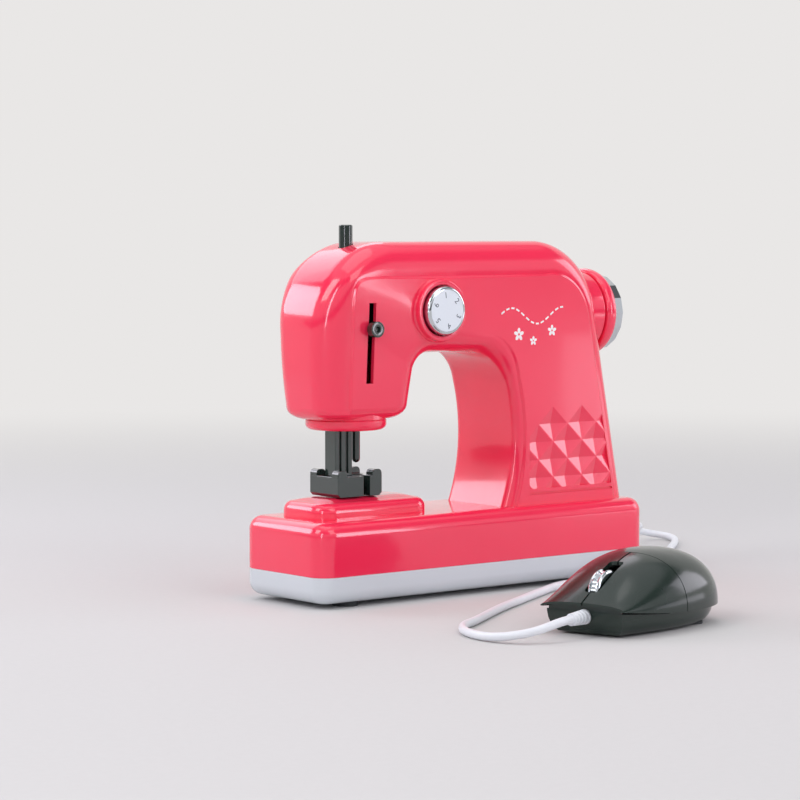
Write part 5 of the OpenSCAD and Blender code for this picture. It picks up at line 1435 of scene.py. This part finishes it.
class TOY_OT_stage(bpy.types.Operator):
    """Camera, pale floor and soft studio light"""

    bl_idname = "toy.stage"
    bl_label = "Stage"

    def execute(self, context):
        scene = context.scene
        scene.view_settings.view_transform = "Standard"
        data = bpy.data.cameras.new("camera")
        data.lens = LENS
        data.sensor_width = SENSOR
        data.clip_end = 50.0
        camera = add_object("camera", data)
        camera.location = machine(*CAMERA_AT)
        look = AWAY * math.cos(CAMERA_PITCH) - Vector(UP) * math.sin(CAMERA_PITCH)
        camera.rotation_euler = look.to_track_quat("-Z", "Y").to_euler()
        scene.camera = camera

        path = [(-FLOOR_REACH, 0.0), (SWEEP_START, 0.0)]
        for a in quarter_turn(16, 1):
            path.append((SWEEP_START + SWEEP_R * math.sin(a), SWEEP_R - SWEEP_R * math.cos(a)))
        path.append((SWEEP_START + SWEEP_R, SWEEP_TOP))
        verts = []
        for along, height in path:
            for side in (-FLOOR_REACH, FLOOR_REACH):
                verts.append(AWAY * along + RIGHT * side + Vector((0, 0, height)))
        faces = [(2 * j, 2 * j + 1, 2 * j + 3, 2 * j + 2) for j in range(len(path) - 1)]
        floor = mesh_object("floor", verts, faces, sharp=60.0)
        floor.data.materials.append(self.paper())

        up = Vector(UP)
        for name, (away, right, height, size, power) in LAMPS.items():
            self.lamp(name, MIDDLE + AWAY * away + RIGHT * right + up * height, MIDDLE, size, power)
        for name, (right, away, low, high, width, power) in SOFT_BOXES.items():
            at = MIDDLE + RIGHT * right + AWAY * away
            at.z = (low + high) / 2
            self.lamp(name, at, Vector((MIDDLE.x, MIDDLE.y, at.z)), width, power, high - low)
        for name, (away, right, height, lift, width, tall, power) in EDGE_BOXES.items():
            at = MIDDLE + AWAY * away + RIGHT * right + up * height
            self.lamp(name, at, MIDDLE + up * lift, width, power, tall)
        self.room(scene)
        return {"FINISHED"}

    def lamp(self, name, at, aim, size, power, tall=None):
        """An area lamp; one with a height of its own is a soft box."""
        light = bpy.data.lights.new(name, "AREA")
        light.energy = power
        light.color = BOX_TINT if tall else LAMP_TINT
        light.size = size
        if tall:
            light.shape = "RECTANGLE"
            light.size_y = tall
        lamp = add_object(name, light)
        lamp.location = at
        lamp.rotation_euler = (aim - at).to_track_quat("-Z", "Y").to_euler()

    def room(self, scene):
        """The studio round the set, in bands of brightness."""
        world = bpy.data.worlds.new("studio")
        world.use_nodes = True
        scene.world = world
        tree = world.node_tree
        place = node(tree, "ShaderNodeTexCoord")
        height = node(tree, "ShaderNodeSeparateXYZ", {"Vector": place.outputs["Generated"]})
        bands = node(tree, "ShaderNodeValToRGB", {"Fac": height.outputs["Z"]})
        marks = bands.color_ramp.elements
        marks[0].position, marks[0].color = 0.0, ROOM_LOW
        marks[1].position, marks[1].color = 1.0, ROOM_HIGH
        for spot, level in ROOM_BANDS:
            marks.new(spot).color = (level, level, level * 1.04, 1)
        feed(tree, tree.nodes["Background"], {"Color": bands.outputs["Color"], "Strength": ROOM_STRENGTH})

    def paper(self):
        """Matt studio paper that goes over into an evenly lit pale backdrop."""
        material = plain_finish("studio_paper", colours().floor, "CDCCCB", 0.9, grain=4.0, strength=0.02)
        tree = material.node_tree
        place = node(tree, "ShaderNodeTexCoord")
        far = node(tree, "ShaderNodeVectorMath", {0: place.outputs["Object"]}, operation="LENGTH")
        # The light of the backdrop comes in between these metres from the middle of the set
        reach = {"Value": far.outputs["Value"], "From Min": 0.35, "From Max": 1.5}
        fade = node(tree, "ShaderNodeMapRange", reach, interpolation_type="SMOOTHSTEP").outputs["Result"]
        ray = node(tree, "ShaderNodeLightPath").outputs

        def calculate(operation, a, b):
            return node(tree, "ShaderNodeMath", {0: a, 1: b}, operation=operation).outputs["Value"]

        mirror = calculate("MAXIMUM", ray["Is Glossy Ray"], ray["Is Transmission Ray"])
        seen = calculate("MULTIPLY", fade, calculate("MAXIMUM", ray["Is Camera Ray"], mirror))
        lit = node(tree, "ShaderNodeEmission", {"Color": linear("E9E7E6"), "Strength": 1.0})
        plain = tree.nodes["Principled BSDF"].outputs[0]
        both = node(tree, "ShaderNodeMixShader", {0: seen, 1: plain, 2: lit.outputs[0]})
        tree.links.new(both.outputs[0], tree.nodes["Material Output"].inputs["Surface"])
        return material


# Panel and registration


class TOY_PT_panel(bpy.types.Panel):
    bl_label = "Toy sewing machine"
    bl_idname = "TOY_PT_panel"
    bl_space_type = "VIEW_3D"
    bl_region_type = "UI"
    bl_category = "Toy"

    def draw(self, context):
        column = self.layout.column()
        for group in (sizes(), colours()):
            for key in group.__annotations__:
                column.prop(group, key)
        for step in STEPS:
            column.operator(step.bl_idname)


STEPS = (
    TOY_OT_stage,
    TOY_OT_cord,
    TOY_OT_finishes,
    TOY_OT_front_shell,
    TOY_OT_rear_shell,
    TOY_OT_base,
    TOY_OT_plate,
    TOY_OT_collars,
    TOY_OT_handwheel,
    TOY_OT_dial,
    TOY_OT_needle_works,
    TOY_OT_presser,
    TOY_OT_pedal_shell,
    TOY_OT_pedal_buttons,
    TOY_OT_scroll,
    TOY_OT_print,
)
CLASSES = (ToySizes, ToyColours) + STEPS + (TOY_PT_panel,)


def register():
    for cls in CLASSES:
        bpy.utils.register_class(cls)
    bpy.types.Scene.toy_sizes = bpy.props.PointerProperty(type=ToySizes)
    bpy.types.Scene.toy_colours = bpy.props.PointerProperty(type=ToyColours)


def unregister():
    del bpy.types.Scene.toy_colours
    del bpy.types.Scene.toy_sizes
    for cls in reversed(CLASSES):
        bpy.utils.unregister_class(cls)


def main():
    register()
    for step in STEPS:
        group, name = step.bl_idname.split(".")
        getattr(getattr(bpy.ops, group), name)()
    bpy.context.view_layer.update()


if __name__ == "__main__":
    main()
